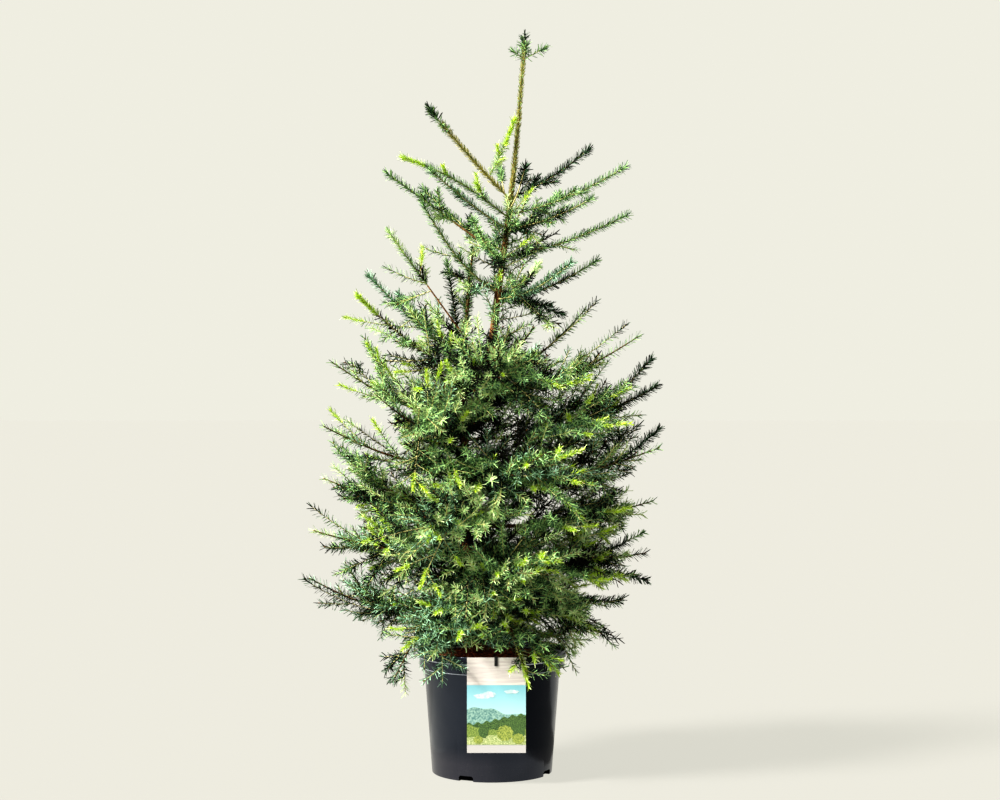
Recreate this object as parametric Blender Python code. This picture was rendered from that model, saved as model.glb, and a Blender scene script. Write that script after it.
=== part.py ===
"""A young serbian spruce in a black nursery pot.

The pot is filled with bark compost and carries a card label. The trunk forks into a leader and a second stem.
Limbs leave both in whorls, and each limb ends in a spray of foliage.
Metres, +Z up, the photographed front faces -Y. The origin is the middle of the pot's flat underside.
"""

import math
import random
from collections import namedtuple

import bmesh
import bpy
import numpy as np
from mathutils import Vector
from mathutils.bvhtree import BVHTree

# Clearance
GAP = 0.0003
GAP_STEP = 0.00004

# Pot
POT_SEGMENTS = 32
POT_FOOT_RADIUS = 0.1130
POT_FOOT_EDGE = 0.0020
POT_SHOULDER_RADIUS = 0.1280
POT_SHOULDER_Z = 0.1985
POT_BAND_RADIUS = 0.1370
POT_LIP_RADIUS = 0.1405
POT_LIP_Z = 0.2175
POT_RIM_Z = 0.2320
POT_RIM_ROUND = 0.0008
POT_WALL = 0.0020
POT_FLOOR = 0.0030
NOTCH_COUNT = 4
NOTCH_HEADING = math.radians(-117)
NOTCH_WIDTH = 0.0250
NOTCH_HEIGHT = 0.0100
NOTCH_DEPTH = 0.0140

# Compost
SOIL_EDGE_Z = 0.2125
SOIL_MID_RADIUS = 0.0950
SOIL_MID_Z = 0.2190
SOIL_CROWN_RADIUS = 0.0520
SOIL_CROWN_Z = 0.2240

# Label and its hook
LABEL_LEFT = -0.0450
LABEL_RIGHT = 0.0620
LABEL_BOTTOM = 0.0600
LABEL_TOP = 0.2330
LABEL_THICK = 0.0010
LABEL_HOLE_X = 0.0080
LABEL_HOLE_Z = 0.2245
LABEL_HOLE_RADIUS = 0.0023
LABEL_HOLE_SIDES = 12
HOOK_WIDTH = 0.0060
HOOK_THICK = 0.0012
HOOK_FRONT_DROP = 0.0170
HOOK_BACK_DROP = 0.0130
HOOK_PEG_RADIUS = 0.0017
HOOK_PEG_SIDES = 8

# Stems: height, sideways, depth and radius at a few stations, with a smooth curve between them
TRUNK_STATIONS = (
    (SOIL_CROWN_Z + GAP, -0.0230, 0.0000, 0.0190),
    (0.2400, -0.0260, 0.0000, 0.0150),
    (0.3260, -0.0400, 0.0020, 0.0128),
    (0.5110, -0.0490, 0.0050, 0.0090),
    (0.6530, -0.0490, 0.0030, 0.0078),
    (0.7660, -0.0100, 0.0000, 0.0070),
    (0.9270, 0.0150, -0.0030, 0.0064),
    (1.0690, 0.0340, 0.0000, 0.0046),
    (1.1730, 0.0450, 0.0020, 0.0033),
    (1.3720, 0.0615, 0.0000, 0.0016),
)
SECOND_STATIONS = (
    (0.6530, -0.0490, 0.0030, 0.0050),
    (0.7000, -0.0535, 0.0010, 0.0048),
    (0.7380, -0.0540, -0.0010, 0.0047),
    (0.8040, -0.0510, -0.0020, 0.0044),
    (0.8700, -0.0470, -0.0010, 0.0036),
    (0.9360, -0.0420, 0.0060, 0.0026),
    (0.9880, -0.0350, 0.0110, 0.0013),
)
TRUNK_SIDES = 9
TRUNK_RING_STEP = 0.070
SECOND_SIDES = 7
SECOND_RING_STEP = 0.042

# Limbs
LIMB_BASE_SHARE = 0.42
LIMB_BASE_MOST = 0.0044
LIMB_TIP_RADIUS = 0.0016
BOUGH_SIDES = 5
BOUGH_RINGS = 4
SPRAY_SIDES = 3
SPRAY_RINGS = 4
SPRAY_STEM_SWELL = 1.25
RING_SAMPLES = 8
RING_TURN = 0.25
FRAME_STEP = 0.02
START_MOST = 0.5
CLAD_RADIUS = 0.0042

# Sprays of needles
BLADE_THICK = 0.0030
BLADE_ROOT_HALF = 0.0016
BLADE_ROOT_SINK = 0.0008
BLADE_NOTCH_SHARE = 0.32
BLADE_LONG = 0.105
BLADE_TRIES = 13
BLADE_SHRINK = 0.92
BLADE_MARGIN = 0.0030
BLADE_CLEAR = 0.0028
EDGE_SAMPLES = 3
MIDDLE_SAMPLES = 6
FAN_NEAR_ANGLE = math.radians(62)
FAN_FAR_ANGLE = math.radians(36)
FAN_ROLL_LOW = math.radians(25)
FAN_ROLL_HIGH = math.radians(80)
FAN_TILT_LOW = math.radians(8)
FAN_TILT_HIGH = math.radians(44)
UPRIGHT_TILT = math.radians(58)
STANDS = 2
PAIR_OFFSET = 0.22
PLACE_JITTER = 0.012
LENGTH_JITTER = 0.08
FIRST_TWIG = 0.13
BARE_FOOT = 0.04
END_SINK = 0.01
END_WIDTH = 0.80
END_SHARE_MOST = 0.30
END_SHARE_OF_TWIG = 0.55
TWIG_LEAST = 0.50
TWIG_SWELL = 0.61
TWIG_SWELL_SHIFT = 0.16
TWIG_SWELL_END = 0.94

# Teeth on each side of a spray: where along it stand the tooth's tip, the notch after it and the ridge point
# that it rises to, and the tip's share of the half width
Tooth = namedtuple("Tooth", "tip notch ridge width")
LONG_TEETH = (Tooth(0.42, 0.30, 0.16, 1.00), Tooth(0.70, 0.57, 0.42, 0.88), Tooth(0.92, 1.00, 0.70, 0.52))
SHORT_TEETH = (Tooth(0.52, 0.38, 0.22, 1.00), Tooth(0.88, 1.00, 0.62, 0.66))

# Each limb: its name, parent stem and height on it, heading in degrees (0 right, 90 back, 180 left, -90 front),
# reach out from the stem, rise to the tip, sag under the straight line, share of the limb that is a bare bough,
# length of the side twigs, half width of a spray, pairs of side twigs and twigs on top
Limb = namedtuple("Limb", "name stem height heading reach rise sag bare twig wide pairs top")

LIMBS = (
    # The tip of the leader
    Limb("leader", "trunk", 1.3720, 90, 0.003, 0.0255, 0.000, 0.0, 0.036, 0.008, 1, 0),
    # Whorl 1, the thin young limbs under the leader
    Limb("1_left", "trunk", 1.078, 172, 0.155, 0.174, 0.004, 0.84, 0.020, 0.009, 2, 0),
    Limb("1_inner", "1_left", 0.270, -20, 0.052, 0.106, 0.006, 0.0, 0.026, 0.009, 2, 0),
    Limb("1_right_high", "trunk", 1.080, 6, 0.148, 0.095, 0.008, 0.0, 0.042, 0.011, 2, 0),
    Limb("1_right", "trunk", 1.050, -9, 0.219, 0.085, 0.012, 0.0, 0.052, 0.012, 3, 0),
    Limb("1_left_low", "trunk", 1.044, 186, 0.198, 0.111, -0.014, 0.0, 0.050, 0.012, 3, 0),
    Limb("1_front", "trunk", 1.060, -80, 0.160, 0.060, 0.010, 0.0, 0.052, 0.012, 2, 0),
    Limb("1_back", "trunk", 1.060, 96, 0.175, 0.100, 0.010, 0.0, 0.052, 0.012, 2, 0),
    # Whorl 2
    Limb("2_left_front", "trunk", 1.022, 212, 0.165, 0.100, 0.005, 0.0, 0.052, 0.012, 2, 0),
    Limb("2_right_front", "trunk", 1.022, -32, 0.182, 0.047, 0.008, 0.0, 0.056, 0.012, 2, 0),
    Limb("2_right_back", "trunk", 1.016, 58, 0.195, 0.090, 0.010, 0.0, 0.056, 0.013, 3, 0),
    # Whorl 3
    Limb("3_left", "trunk", 0.968, 176, 0.219, 0.161, 0.000, 0.42, 0.050, 0.013, 3, 0),
    Limb("3_left_back", "trunk", 0.980, 142, 0.200, 0.132, 0.010, 0.0, 0.056, 0.013, 3, 0),
    Limb("3_right", "trunk", 0.968, 4, 0.234, 0.082, 0.010, 0.0, 0.062, 0.014, 3, 0),
    Limb("3_front", "trunk", 0.962, -106, 0.195, 0.060, 0.012, 0.0, 0.064, 0.015, 3, 0),
    # Whorl 4
    Limb("4_left_front", "trunk", 0.902, 200, 0.150, 0.163, 0.024, 0.0, 0.056, 0.014, 3, 0),
    Limb("4_right", "trunk", 0.884, 10, 0.192, 0.081, 0.012, 0.0, 0.074, 0.017, 3, 0),
    Limb("4_right_front", "trunk", 0.890, -54, 0.225, 0.055, 0.014, 0.0, 0.080, 0.020, 3, 0),
    Limb("4_back", "trunk", 0.892, 70, 0.240, 0.080, 0.014, 0.0, 0.080, 0.020, 3, 0),
    # Whorl 5, on the second stem
    Limb("5_left_high", "second", 0.817, 184, 0.143, 0.197, 0.000, 0.50, 0.084, 0.019, 3, 0),
    Limb("5_left", "second", 0.775, 174, 0.182, 0.161, 0.010, 0.0, 0.090, 0.023, 3, 0),
    Limb("5_left_front", "second", 0.748, 212, 0.225, 0.142, 0.014, 0.0, 0.110, 0.027, 3, 1),
    Limb("5_left_back", "second", 0.790, 126, 0.230, 0.120, 0.012, 0.0, 0.110, 0.027, 3, 0),
    # Whorl 6
    Limb("6_right_high", "trunk", 0.750, 14, 0.205, 0.130, 0.030, 0.0, 0.110, 0.030, 3, 0),
    Limb("6_right", "trunk", 0.705, -8, 0.316, 0.118, 0.026, 0.0, 0.130, 0.036, 5, 0),
    Limb("6_front", "trunk", 0.742, -74, 0.250, 0.060, 0.016, 0.0, 0.130, 0.038, 4, 1),
    Limb("6_back", "trunk", 0.730, 66, 0.290, 0.085, 0.020, 0.0, 0.130, 0.038, 5, 0),
    # Whorl 7
    Limb("7_left", "trunk", 0.655, 176, 0.262, 0.121, 0.018, 0.0, 0.140, 0.038, 5, 0),
    Limb("7_right", "trunk", 0.625, 6, 0.350, 0.090, 0.024, 0.24, 0.140, 0.038, 5, 0),
    Limb("7_left_front", "trunk", 0.632, 236, 0.280, 0.080, 0.022, 0.0, 0.140, 0.040, 5, 1),
    Limb("7_back", "trunk", 0.640, 104, 0.310, 0.080, 0.022, 0.0, 0.140, 0.040, 4, 0),
    # Whorl 8
    Limb("8_left", "trunk", 0.570, 188, 0.272, 0.084, 0.018, 0.0, 0.140, 0.038, 5, 0),
    Limb("8_right", "trunk", 0.545, -8, 0.372, 0.068, 0.022, 0.0, 0.144, 0.040, 5, 0),
    Limb("8_right_front", "trunk", 0.560, -60, 0.300, 0.050, 0.020, 0.0, 0.144, 0.040, 5, 1),
    Limb("8_right_back", "trunk", 0.556, 46, 0.320, 0.060, 0.022, 0.0, 0.144, 0.040, 5, 0),
    # Whorl 9
    Limb("9_left", "trunk", 0.490, 170, 0.285, 0.062, 0.016, 0.0, 0.140, 0.038, 5, 0),
    Limb("9_right", "trunk", 0.462, 8, 0.366, 0.046, 0.018, 0.26, 0.140, 0.040, 5, 0),
    Limb("9_front", "trunk", 0.478, -104, 0.290, 0.020, 0.016, 0.0, 0.144, 0.040, 4, 1),
    Limb("9_left_back", "trunk", 0.470, 132, 0.310, 0.035, 0.018, 0.0, 0.144, 0.040, 5, 0),
    # Whorl 10
    Limb("10_left", "trunk", 0.410, 194, 0.300, 0.050, 0.014, 0.0, 0.136, 0.038, 4, 0),
    Limb("10_right", "trunk", 0.385, -6, 0.340, 0.030, 0.012, 0.0, 0.140, 0.038, 5, 0),
    Limb("10_front", "trunk", 0.392, -66, 0.290, 0.005, 0.008, 0.0, 0.136, 0.038, 5, 1),
    Limb("10_back", "trunk", 0.390, 76, 0.310, 0.010, 0.010, 0.0, 0.136, 0.038, 4, 0),
    # Whorl 11, the long low limb on the left, and limbs that arch out over the rim and hang beside the pot
    Limb("11_left", "trunk", 0.325, 178, 0.312, 0.040, 0.040, 0.36, 0.110, 0.032, 4, 0),
    Limb("11_left_front", "trunk", 0.290, 222, 0.200, -0.110, -0.062, 0.0, 0.090, 0.028, 3, 0),
    Limb("11_right", "trunk", 0.300, 8, 0.262, -0.040, -0.040, 0.0, 0.100, 0.032, 4, 0),
    Limb("11_front", "trunk", 0.300, -58, 0.195, -0.105, -0.066, 0.0, 0.074, 0.024, 3, 0),
)
SPLIT_LIMB = "1_left"
SPLIT_SHARE = 0.27
SEED = 4211
SEED_STEP = 31
SPACE_STEPS = 16

# Colours, as red, green and blue
COLOURS = {
    "pot_black": (0.012, 0.013, 0.020),
    "bark_compost": (0.150, 0.045, 0.022),
    "card_label": (0.640, 0.600, 0.560),
    "hook_black": (0.010, 0.010, 0.012),
    "bark": (0.230, 0.110, 0.045),
    "needles": (0.030, 0.110, 0.045),
}
ROUGHNESS = {
    "pot_black": 0.35,
    "bark_compost": 0.95,
    "card_label": 0.55,
    "hook_black": 0.40,
    "bark": 0.85,
    "needles": 0.55,
}


def clear_scene():
    """Leave an empty scene."""
    for obj in list(bpy.data.objects):
        bpy.data.objects.remove(obj, do_unlink=True)


def material_for(node, kind):
    """A material of one kind, owned by one node."""
    material = bpy.data.materials.new(node + "_" + kind)
    material.use_nodes = True
    shader = material.node_tree.nodes["Principled BSDF"]
    shader.inputs["Base Color"].default_value = (*COLOURS[kind], 1.0)
    shader.inputs["Roughness"].default_value = ROUGHNESS[kind]
    return material


def add_object(name, points, faces, kind=None, smooth=False):
    """A mesh object from points and faces, with its faces turned outwards."""
    mesh = bpy.data.meshes.new(name)
    mesh.from_pydata([tuple(p) for p in points], [], faces)
    work = bmesh.new()
    work.from_mesh(mesh)
    bmesh.ops.recalc_face_normals(work, faces=work.faces)
    work.to_mesh(mesh)
    work.free()
    mesh.validate()
    obj = bpy.data.objects.new(name, mesh)
    bpy.context.scene.collection.objects.link(obj)
    if kind:
        mesh.materials.append(material_for(name, kind))
    if smooth:
        mesh.shade_smooth()
    return obj


def turned_body(name, profile, segments, kind):
    """A body of revolution from a profile of radius and height that starts and ends on the axis."""
    points = [Vector((0.0, 0.0, profile[0][1]))]
    faces = []
    for radius, height in profile[1:-1]:
        for k in range(segments):
            angle = 2.0 * math.pi * k / segments
            points.append(Vector((radius * math.cos(angle), radius * math.sin(angle), height)))
    points.append(Vector((0.0, 0.0, profile[-1][1])))
    last = len(points) - 1
    rows = len(profile) - 2
    for k in range(segments):
        after = (k + 1) % segments
        faces.append((0, 1 + after, 1 + k))
        for row in range(rows - 1):
            low = 1 + row * segments
            high = low + segments
            faces.append((low + k, low + after, high + after, high + k))
        top = 1 + (rows - 1) * segments
        faces.append((top + k, top + after, last))
    return add_object(name, points, faces, kind, smooth=True)


def box_points(low, high):
    """The eight corners and six faces of an upright box."""
    ends = (low, high)
    points = [Vector((x[0], y[1], z[2])) for z in ends for y in ends for x in ends]
    faces = [(0, 2, 3, 1), (4, 5, 7, 6), (0, 1, 5, 4), (2, 6, 7, 3), (0, 4, 6, 2), (1, 3, 7, 5)]
    return points, faces


def tube(name, rings, kind=None, smooth=True):
    """A closed tube through rings of points, with flat ends."""
    sides = len(rings[0])
    points = [p for ring in rings for p in ring]
    faces = [tuple(range(sides)), tuple(range(len(points) - sides, len(points)))]
    for row in range(len(rings) - 1):
        low = row * sides
        high = low + sides
        for k in range(sides):
            after = (k + 1) % sides
            faces.append((low + k, low + after, high + after, high + k))
    return add_object(name, points, faces, kind, smooth=smooth)


def run_boolean(target, operation, others):
    """Apply one Boolean with all the others at once, and remove them."""
    group = bpy.data.collections.new(target.name + "_parts")
    bpy.context.scene.collection.children.link(group)
    for other in others:
        for home in list(other.users_collection):
            home.objects.unlink(other)
        group.objects.link(other)
    step = target.modifiers.new("join", "BOOLEAN")
    step.operation = operation
    step.operand_type = "COLLECTION"
    step.collection = group
    step.solver = "EXACT"
    bpy.context.view_layer.update()
    graph = bpy.context.evaluated_depsgraph_get()
    result = bpy.data.meshes.new_from_object(target.evaluated_get(graph))
    old = target.data
    target.modifiers.remove(step)
    target.data = result
    result.name = target.name
    bpy.data.meshes.remove(old)
    for other in list(group.objects):
        bpy.data.objects.remove(other, do_unlink=True)
    bpy.data.collections.remove(group)


def tree_of(obj):
    """A search tree over one object's surface."""
    mesh = obj.data
    mesh.calc_loop_triangles()
    points = [obj.matrix_world @ v.co for v in mesh.vertices]
    return BVHTree.FromPolygons(points, [tuple(t.vertices) for t in mesh.loop_triangles])


def make_pot():
    """The tapered pot with its two rim bands, a flat underside and notches at the foot."""
    inner_foot = POT_FOOT_RADIUS - POT_WALL
    profile = (
        (0.0, 0.0),
        (POT_FOOT_RADIUS - POT_FOOT_EDGE, 0.0),
        (POT_FOOT_RADIUS, POT_FOOT_EDGE),
        (POT_SHOULDER_RADIUS, POT_SHOULDER_Z),
        (POT_BAND_RADIUS, POT_SHOULDER_Z),
        (POT_BAND_RADIUS, POT_LIP_Z),
        (POT_LIP_RADIUS, POT_LIP_Z),
        (POT_LIP_RADIUS, POT_RIM_Z - POT_RIM_ROUND),
        (POT_LIP_RADIUS - POT_RIM_ROUND, POT_RIM_Z),
        (POT_LIP_RADIUS - POT_WALL, POT_RIM_Z),
        (POT_LIP_RADIUS - POT_WALL, POT_LIP_Z + POT_WALL),
        (POT_BAND_RADIUS - POT_WALL, POT_LIP_Z + POT_WALL),
        (POT_BAND_RADIUS - POT_WALL, POT_SHOULDER_Z + POT_WALL),
        (POT_SHOULDER_RADIUS - POT_WALL, POT_SHOULDER_Z + POT_WALL),
        (inner_foot, POT_FLOOR),
        (0.0, POT_FLOOR),
    )
    pot = turned_body("pot", profile, POT_SEGMENTS, "pot_black")
    cutters = []
    for k in range(NOTCH_COUNT):
        heading = NOTCH_HEADING + 2.0 * math.pi * k / NOTCH_COUNT
        out = Vector((math.cos(heading), math.sin(heading), 0.0))
        side = Vector((-out.y, out.x, 0.0))
        low = (-NOTCH_WIDTH / 2, POT_FOOT_RADIUS - NOTCH_DEPTH / 2, -NOTCH_HEIGHT)
        high = (NOTCH_WIDTH / 2, POT_FOOT_RADIUS + NOTCH_DEPTH / 2, NOTCH_HEIGHT)
        corners, faces = box_points(low, high)
        corners = [side * p.x + out * p.y + Vector((0.0, 0.0, p.z)) for p in corners]
        cutters.append(add_object("notch_cutter", corners, faces))
    run_boolean(pot, "DIFFERENCE", cutters)
    return pot


def make_soil():
    """The compost that fills the pot, mounded towards the trunk."""
    foot = POT_FOOT_RADIUS - POT_WALL - GAP
    profile = (
        (0.0, POT_FLOOR + GAP),
        (foot, POT_FLOOR + GAP),
        (POT_SHOULDER_RADIUS - POT_WALL - GAP, POT_SHOULDER_Z + POT_WALL + GAP),
        (POT_BAND_RADIUS - POT_WALL - GAP, POT_SHOULDER_Z + POT_WALL + GAP),
        (POT_BAND_RADIUS - POT_WALL - GAP, SOIL_EDGE_Z),
        (SOIL_MID_RADIUS, SOIL_MID_Z),
        (SOIL_CROWN_RADIUS, SOIL_CROWN_Z),
        (0.0, SOIL_CROWN_Z),
    )
    return turned_body("soil", profile, POT_SEGMENTS, "bark_compost")


def peg_rings(x, z, radius, sides, front, back):
    """Two rings for a short round peg that runs from front to back."""
    rings = []
    for y in (front, back):
        turn = [2.0 * math.pi * k / sides for k in range(sides)]
        rings.append([Vector((x + radius * math.cos(a), y, z + radius * math.sin(a))) for a in turn])
    return rings


def make_label():
    """The card that hangs in front of the rim, with a round hole near its top edge."""
    back = -(POT_LIP_RADIUS + GAP)
    front = back - LABEL_THICK
    corners, faces = box_points((LABEL_LEFT, front, LABEL_BOTTOM), (LABEL_RIGHT, back, LABEL_TOP))
    label = add_object("label", corners, faces, "card_label")
    rings = peg_rings(
        LABEL_HOLE_X, LABEL_HOLE_Z, LABEL_HOLE_RADIUS, LABEL_HOLE_SIDES, front - LABEL_THICK, back + LABEL_THICK
    )
    run_boolean(label, "DIFFERENCE", [tube("hole_cutter", rings)])
    return label


def make_hook():
    """The black hook that goes through the label's hole and over the rim."""
    card_front = -(POT_LIP_RADIUS + GAP + LABEL_THICK)
    front = card_front - GAP - HOOK_THICK
    far_side = LABEL_HOLE_X + HOOK_WIDTH / 2
    inside = far_side * math.tan(math.pi / POT_SEGMENTS) - (POT_LIP_RADIUS - POT_WALL) + GAP
    back = inside + HOOK_THICK
    low = LABEL_TOP + GAP
    high = low + HOOK_THICK
    outline = (
        (front, high - HOOK_FRONT_DROP),
        (front + HOOK_THICK, high - HOOK_FRONT_DROP),
        (front + HOOK_THICK, low),
        (inside, low),
        (inside, high - HOOK_BACK_DROP),
        (back, high - HOOK_BACK_DROP),
        (back, high),
        (front, high),
    )
    sides = (LABEL_HOLE_X - HOOK_WIDTH / 2, LABEL_HOLE_X + HOOK_WIDTH / 2)
    rings = [[Vector((x, y, z)) for y, z in outline] for x in sides]
    hook = tube("label_hook", rings, "hook_black", smooth=False)
    peg_start = front + HOOK_THICK / 2
    peg_end = card_front + LABEL_THICK
    peg = peg_rings(LABEL_HOLE_X, LABEL_HOLE_Z, HOOK_PEG_RADIUS, HOOK_PEG_SIDES, peg_start, peg_end)
    run_boolean(hook, "UNION", [tube("peg", peg)])
    return hook


def stem_at(stations, height):
    """The axis point and radius of a stem at a height, on a smooth curve through its stations."""
    count = len(stations)
    height = min(max(height, stations[0][0]), stations[-1][0])
    index = 0
    while index < count - 2 and stations[index + 1][0] < height:
        index += 1
    low, high = stations[index], stations[index + 1]
    span = high[0] - low[0]
    share = (height - low[0]) / span

    def slope(at, column):
        before, after = stations[max(at - 1, 0)], stations[min(at + 1, count - 1)]
        return (after[column] - before[column]) / (after[0] - before[0])

    def curve(column):
        start = (1 + 2 * share) * (1 - share) ** 2 * low[column]
        end = share ** 2 * (3 - 2 * share) * high[column]
        leave = share * (1 - share) ** 2 * span * slope(index, column)
        arrive = share ** 2 * (share - 1) * span * slope(index + 1, column)
        return start + end + leave + arrive

    radius = low[3] + (high[3] - low[3]) * share
    return Vector((curve(1), curve(2), height)), radius


def stem_ring(stations, height, sides):
    """A level ring of points round a stem."""
    centre, radius = stem_at(stations, height)
    turn = [2.0 * math.pi * k / sides for k in range(sides)]
    return [centre + Vector((radius * math.cos(a), radius * math.sin(a), 0.0)) for a in turn]


def make_stem(name, stations, sides, step, start):
    """A round stem from a flat cut to its tip."""
    heights = []
    for low, high in zip(stations, stations[1:]):
        foot = max(low[0], start)
        if foot >= high[0]:
            continue
        parts = max(1, round((high[0] - foot) / step))
        heights += [foot + (high[0] - foot) * k / parts for k in range(parts)]
    heights.append(stations[-1][0])
    rings = [stem_ring(stations, height, sides) for height in heights]
    return tube(name, rings, "bark")


def clear_height(stations, sides, tree):
    """The first height at which a stem that forks off another one is free of it by the gap."""
    height = stations[0][0]
    while not all(is_clear(tree, p, GAP) for p in round_samples(stem_ring(stations, height, sides))):
        height += GAP_STEP
    return height


def round_samples(ring):
    """Points all along a ring."""
    samples = []
    for a, b in zip(ring, ring[1:] + ring[:1]):
        samples += [a.lerp(b, k / RING_SAMPLES) for k in range(RING_SAMPLES)]
    return samples


def stations_of(stem):
    """The stations of a stem by its name."""
    return TRUNK_STATIONS if stem == "trunk" else SECOND_STATIONS


def limb_base(limb):
    """The point on its parent's axis that a limb starts from, and the parent's radius there."""
    if limb.stem in ("trunk", "second"):
        return stem_at(stations_of(limb.stem), limb.height)
    parent = LIMB_BY_NAME[limb.stem]
    return limb_point(parent, limb.height), limb_radius(parent, limb.height)


def limb_point(limb, share):
    """The point a share of the way along a limb's axis."""
    base, _ = limb_base(limb)
    heading = math.radians(limb.heading)
    out = limb.reach * share
    lift = limb.rise * share - limb.sag * math.sin(math.pi * share)
    return base + Vector((out * math.cos(heading), out * math.sin(heading), lift))


def limb_radius(limb, share):
    """The radius of a limb a share of the way along it."""
    _, stem_radius = limb_base(limb)
    base = min(stem_radius * LIMB_BASE_SHARE, LIMB_BASE_MOST)
    return base + (min(LIMB_TIP_RADIUS, base) - base) * share


def limb_frame(limb, share):
    """The direction of a limb, and the two directions across it, at a share of its length."""
    ahead = limb_point(limb, min(share + FRAME_STEP, 1.0))
    behind = limb_point(limb, max(share - FRAME_STEP, 0.0))
    along = (ahead - behind).normalized()
    heading = math.radians(limb.heading)
    across = Vector((-math.sin(heading), math.cos(heading), 0.0))
    return along, across, across.cross(along).normalized() * -1.0


def limb_ring(limb, share, radius, sides):
    """A ring of points round a limb's axis."""
    _, across, over = limb_frame(limb, share)
    centre = limb_point(limb, share)
    turn = [2.0 * math.pi * (k + RING_TURN) / sides for k in range(sides)]
    return [centre + across * (radius * math.cos(a)) + over * (radius * math.sin(a)) for a in turn]


def limb_length(limb):
    """The length of a limb's axis."""
    points = [limb_point(limb, k / SPACE_STEPS) for k in range(SPACE_STEPS + 1)]
    return sum((b - a).length for a, b in zip(points, points[1:]))


def clear_start(limb, radius, sides, trees):
    """The first share of a limb at which a ring is free of its parent by the gap."""
    length = limb_length(limb)
    share = 0.0
    while share < START_MOST:
        samples = [limb_point(limb, share)] + round_samples(limb_ring(limb, share, radius, sides))
        if all(is_clear(tree, p, GAP) for p in samples for tree in trees):
            return share
        share += GAP_STEP / length
    return share


def is_clear(tree, point, least):
    """Whether a point is outside a surface and at least this far from it."""
    spot, normal, _, distance = tree.find_nearest(point)
    return distance >= least and (point - spot).dot(normal) >= 0.0


def make_bough(limb, start, end, name):
    """The bare part of a limb, as one tapering tube."""
    rings = []
    for k in range(BOUGH_RINGS):
        share = start + (end - start) * k / (BOUGH_RINGS - 1)
        rings.append(limb_ring(limb, share, limb_radius(limb, share), BOUGH_SIDES))
    return tube(name, rings, "bark")


def spray_shape(length, half, teeth):
    """The right half of a toothed spray's outline, as distances along it and out from its middle."""
    shape = [(0.0, BLADE_ROOT_HALF)]
    for tooth in teeth:
        shape.append((tooth.tip * length, tooth.width * half))
        if tooth.notch < 1.0:
            shape.append((tooth.notch * length, max(BLADE_ROOT_HALF, BLADE_NOTCH_SHARE * half)))
    return shape


def spray_body(limb, foot, at, angle, side, tilt, roll, length, half):
    """The outline, points and faces of a toothed spray, thin at its edges, with its foot on a limb's stem."""
    along, across, over = limb_frame(limb, at)
    outward = across * (side * math.cos(tilt)) + over * math.sin(tilt)
    direction = (along * math.cos(angle) + outward * math.sin(angle)).normalized()
    plane = over if side == 0 else along.cross(outward).normalized()
    wide = plane.cross(direction).normalized()
    wide = (wide * math.cos(roll) + direction.cross(wide) * math.sin(roll)).normalized()
    lift = direction.cross(wide).normalized() * (BLADE_THICK / 2)
    root = foot - direction * BLADE_ROOT_SINK
    length += BLADE_ROOT_SINK
    teeth = LONG_TEETH if length > BLADE_LONG else SHORT_TEETH
    half_shape = spray_shape(length, half, teeth)
    right = [root + direction * s + wide * w for s, w in half_shape]
    left = [root + direction * s - wide * w for s, w in half_shape]
    tip = [root + direction * length]
    ridge = [root + direction * (tooth.ridge * length) for tooth in teeth]
    outline = right + tip + left[::-1]
    points = outline + [p + lift for p in ridge] + [p - lift for p in ridge]
    count = len(outline)
    right_at = list(range(len(right))) + [len(right)]
    left_at = [count - 1 - k for k in range(len(left))] + [len(right)]
    faces = []
    for face_side in (0, 1):
        first = count + face_side * len(teeth)
        faces.append((right_at[0], left_at[0], first))
        for edge in (right_at, left_at):
            for k in range(len(teeth)):
                top = first + k
                faces.append((edge[2 * k], edge[2 * k + 1], top))
                faces.append((edge[2 * k + 1], edge[2 * k + 2], top))
                if k + 1 < len(teeth):
                    faces.append((edge[2 * k + 2], top, top + 1))
    return outline, points, faces


def samples_of(outline):
    """Points along a spray's outline and its middle line, all but the two at its foot."""
    samples = []
    for a, b in zip(outline, outline[1:] + outline[:1]):
        samples += [a.lerp(b, k / EDGE_SAMPLES) for k in range(EDGE_SAMPLES)]
    foot = outline[0].lerp(outline[-1], 0.5)
    tip = outline[len(outline) // 2]
    samples += [foot.lerp(tip, k / MIDDLE_SAMPLES) for k in range(1, MIDDLE_SAMPLES)]
    return samples[2:]


class Space:
    """Which limb's axis is nearest to a point, and which solids are near it."""

    def __init__(self, limbs):
        starts, ends, owners = [], [], []
        for index, limb in enumerate(limbs):
            points = [limb_point(limb, k / SPACE_STEPS) for k in range(SPACE_STEPS + 1)]
            starts += points[:-1]
            ends += points[1:]
            owners += [index] * SPACE_STEPS
        self.start = np.array([tuple(p) for p in starts])
        self.step = np.array([tuple(p) for p in ends]) - self.start
        self.owner = np.array(owners)
        self.square = (self.step ** 2).sum(axis=1)
        self.trees = []

    def keeps(self, index, samples):
        """Whether all the samples lie in the space of one limb and clear of the solids."""
        for point in samples:
            away = np.array(tuple(point)) - self.start
            share = np.clip((away * self.step).sum(axis=1) / self.square, 0.0, 1.0)
            distance = np.sqrt(((away - self.step * share[:, None]) ** 2).sum(axis=1))
            own = distance[self.owner == index].min()
            other = distance[self.owner != index].min()
            if own + BLADE_MARGIN > other:
                return False
            if point.z < BLADE_CLEAR:
                return False
            if not all(is_clear(tree, point, BLADE_CLEAR) for tree in self.trees):
                return False
        return True


def twig_length(limb, along):
    """How long a side twig is, by where it leaves the spray's stem: longest near the stem's middle."""
    swell = math.sin(math.pi * min(TWIG_SWELL_END, along + TWIG_SWELL_SHIFT))
    return limb.twig * (TWIG_LEAST + TWIG_SWELL * swell)


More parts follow.
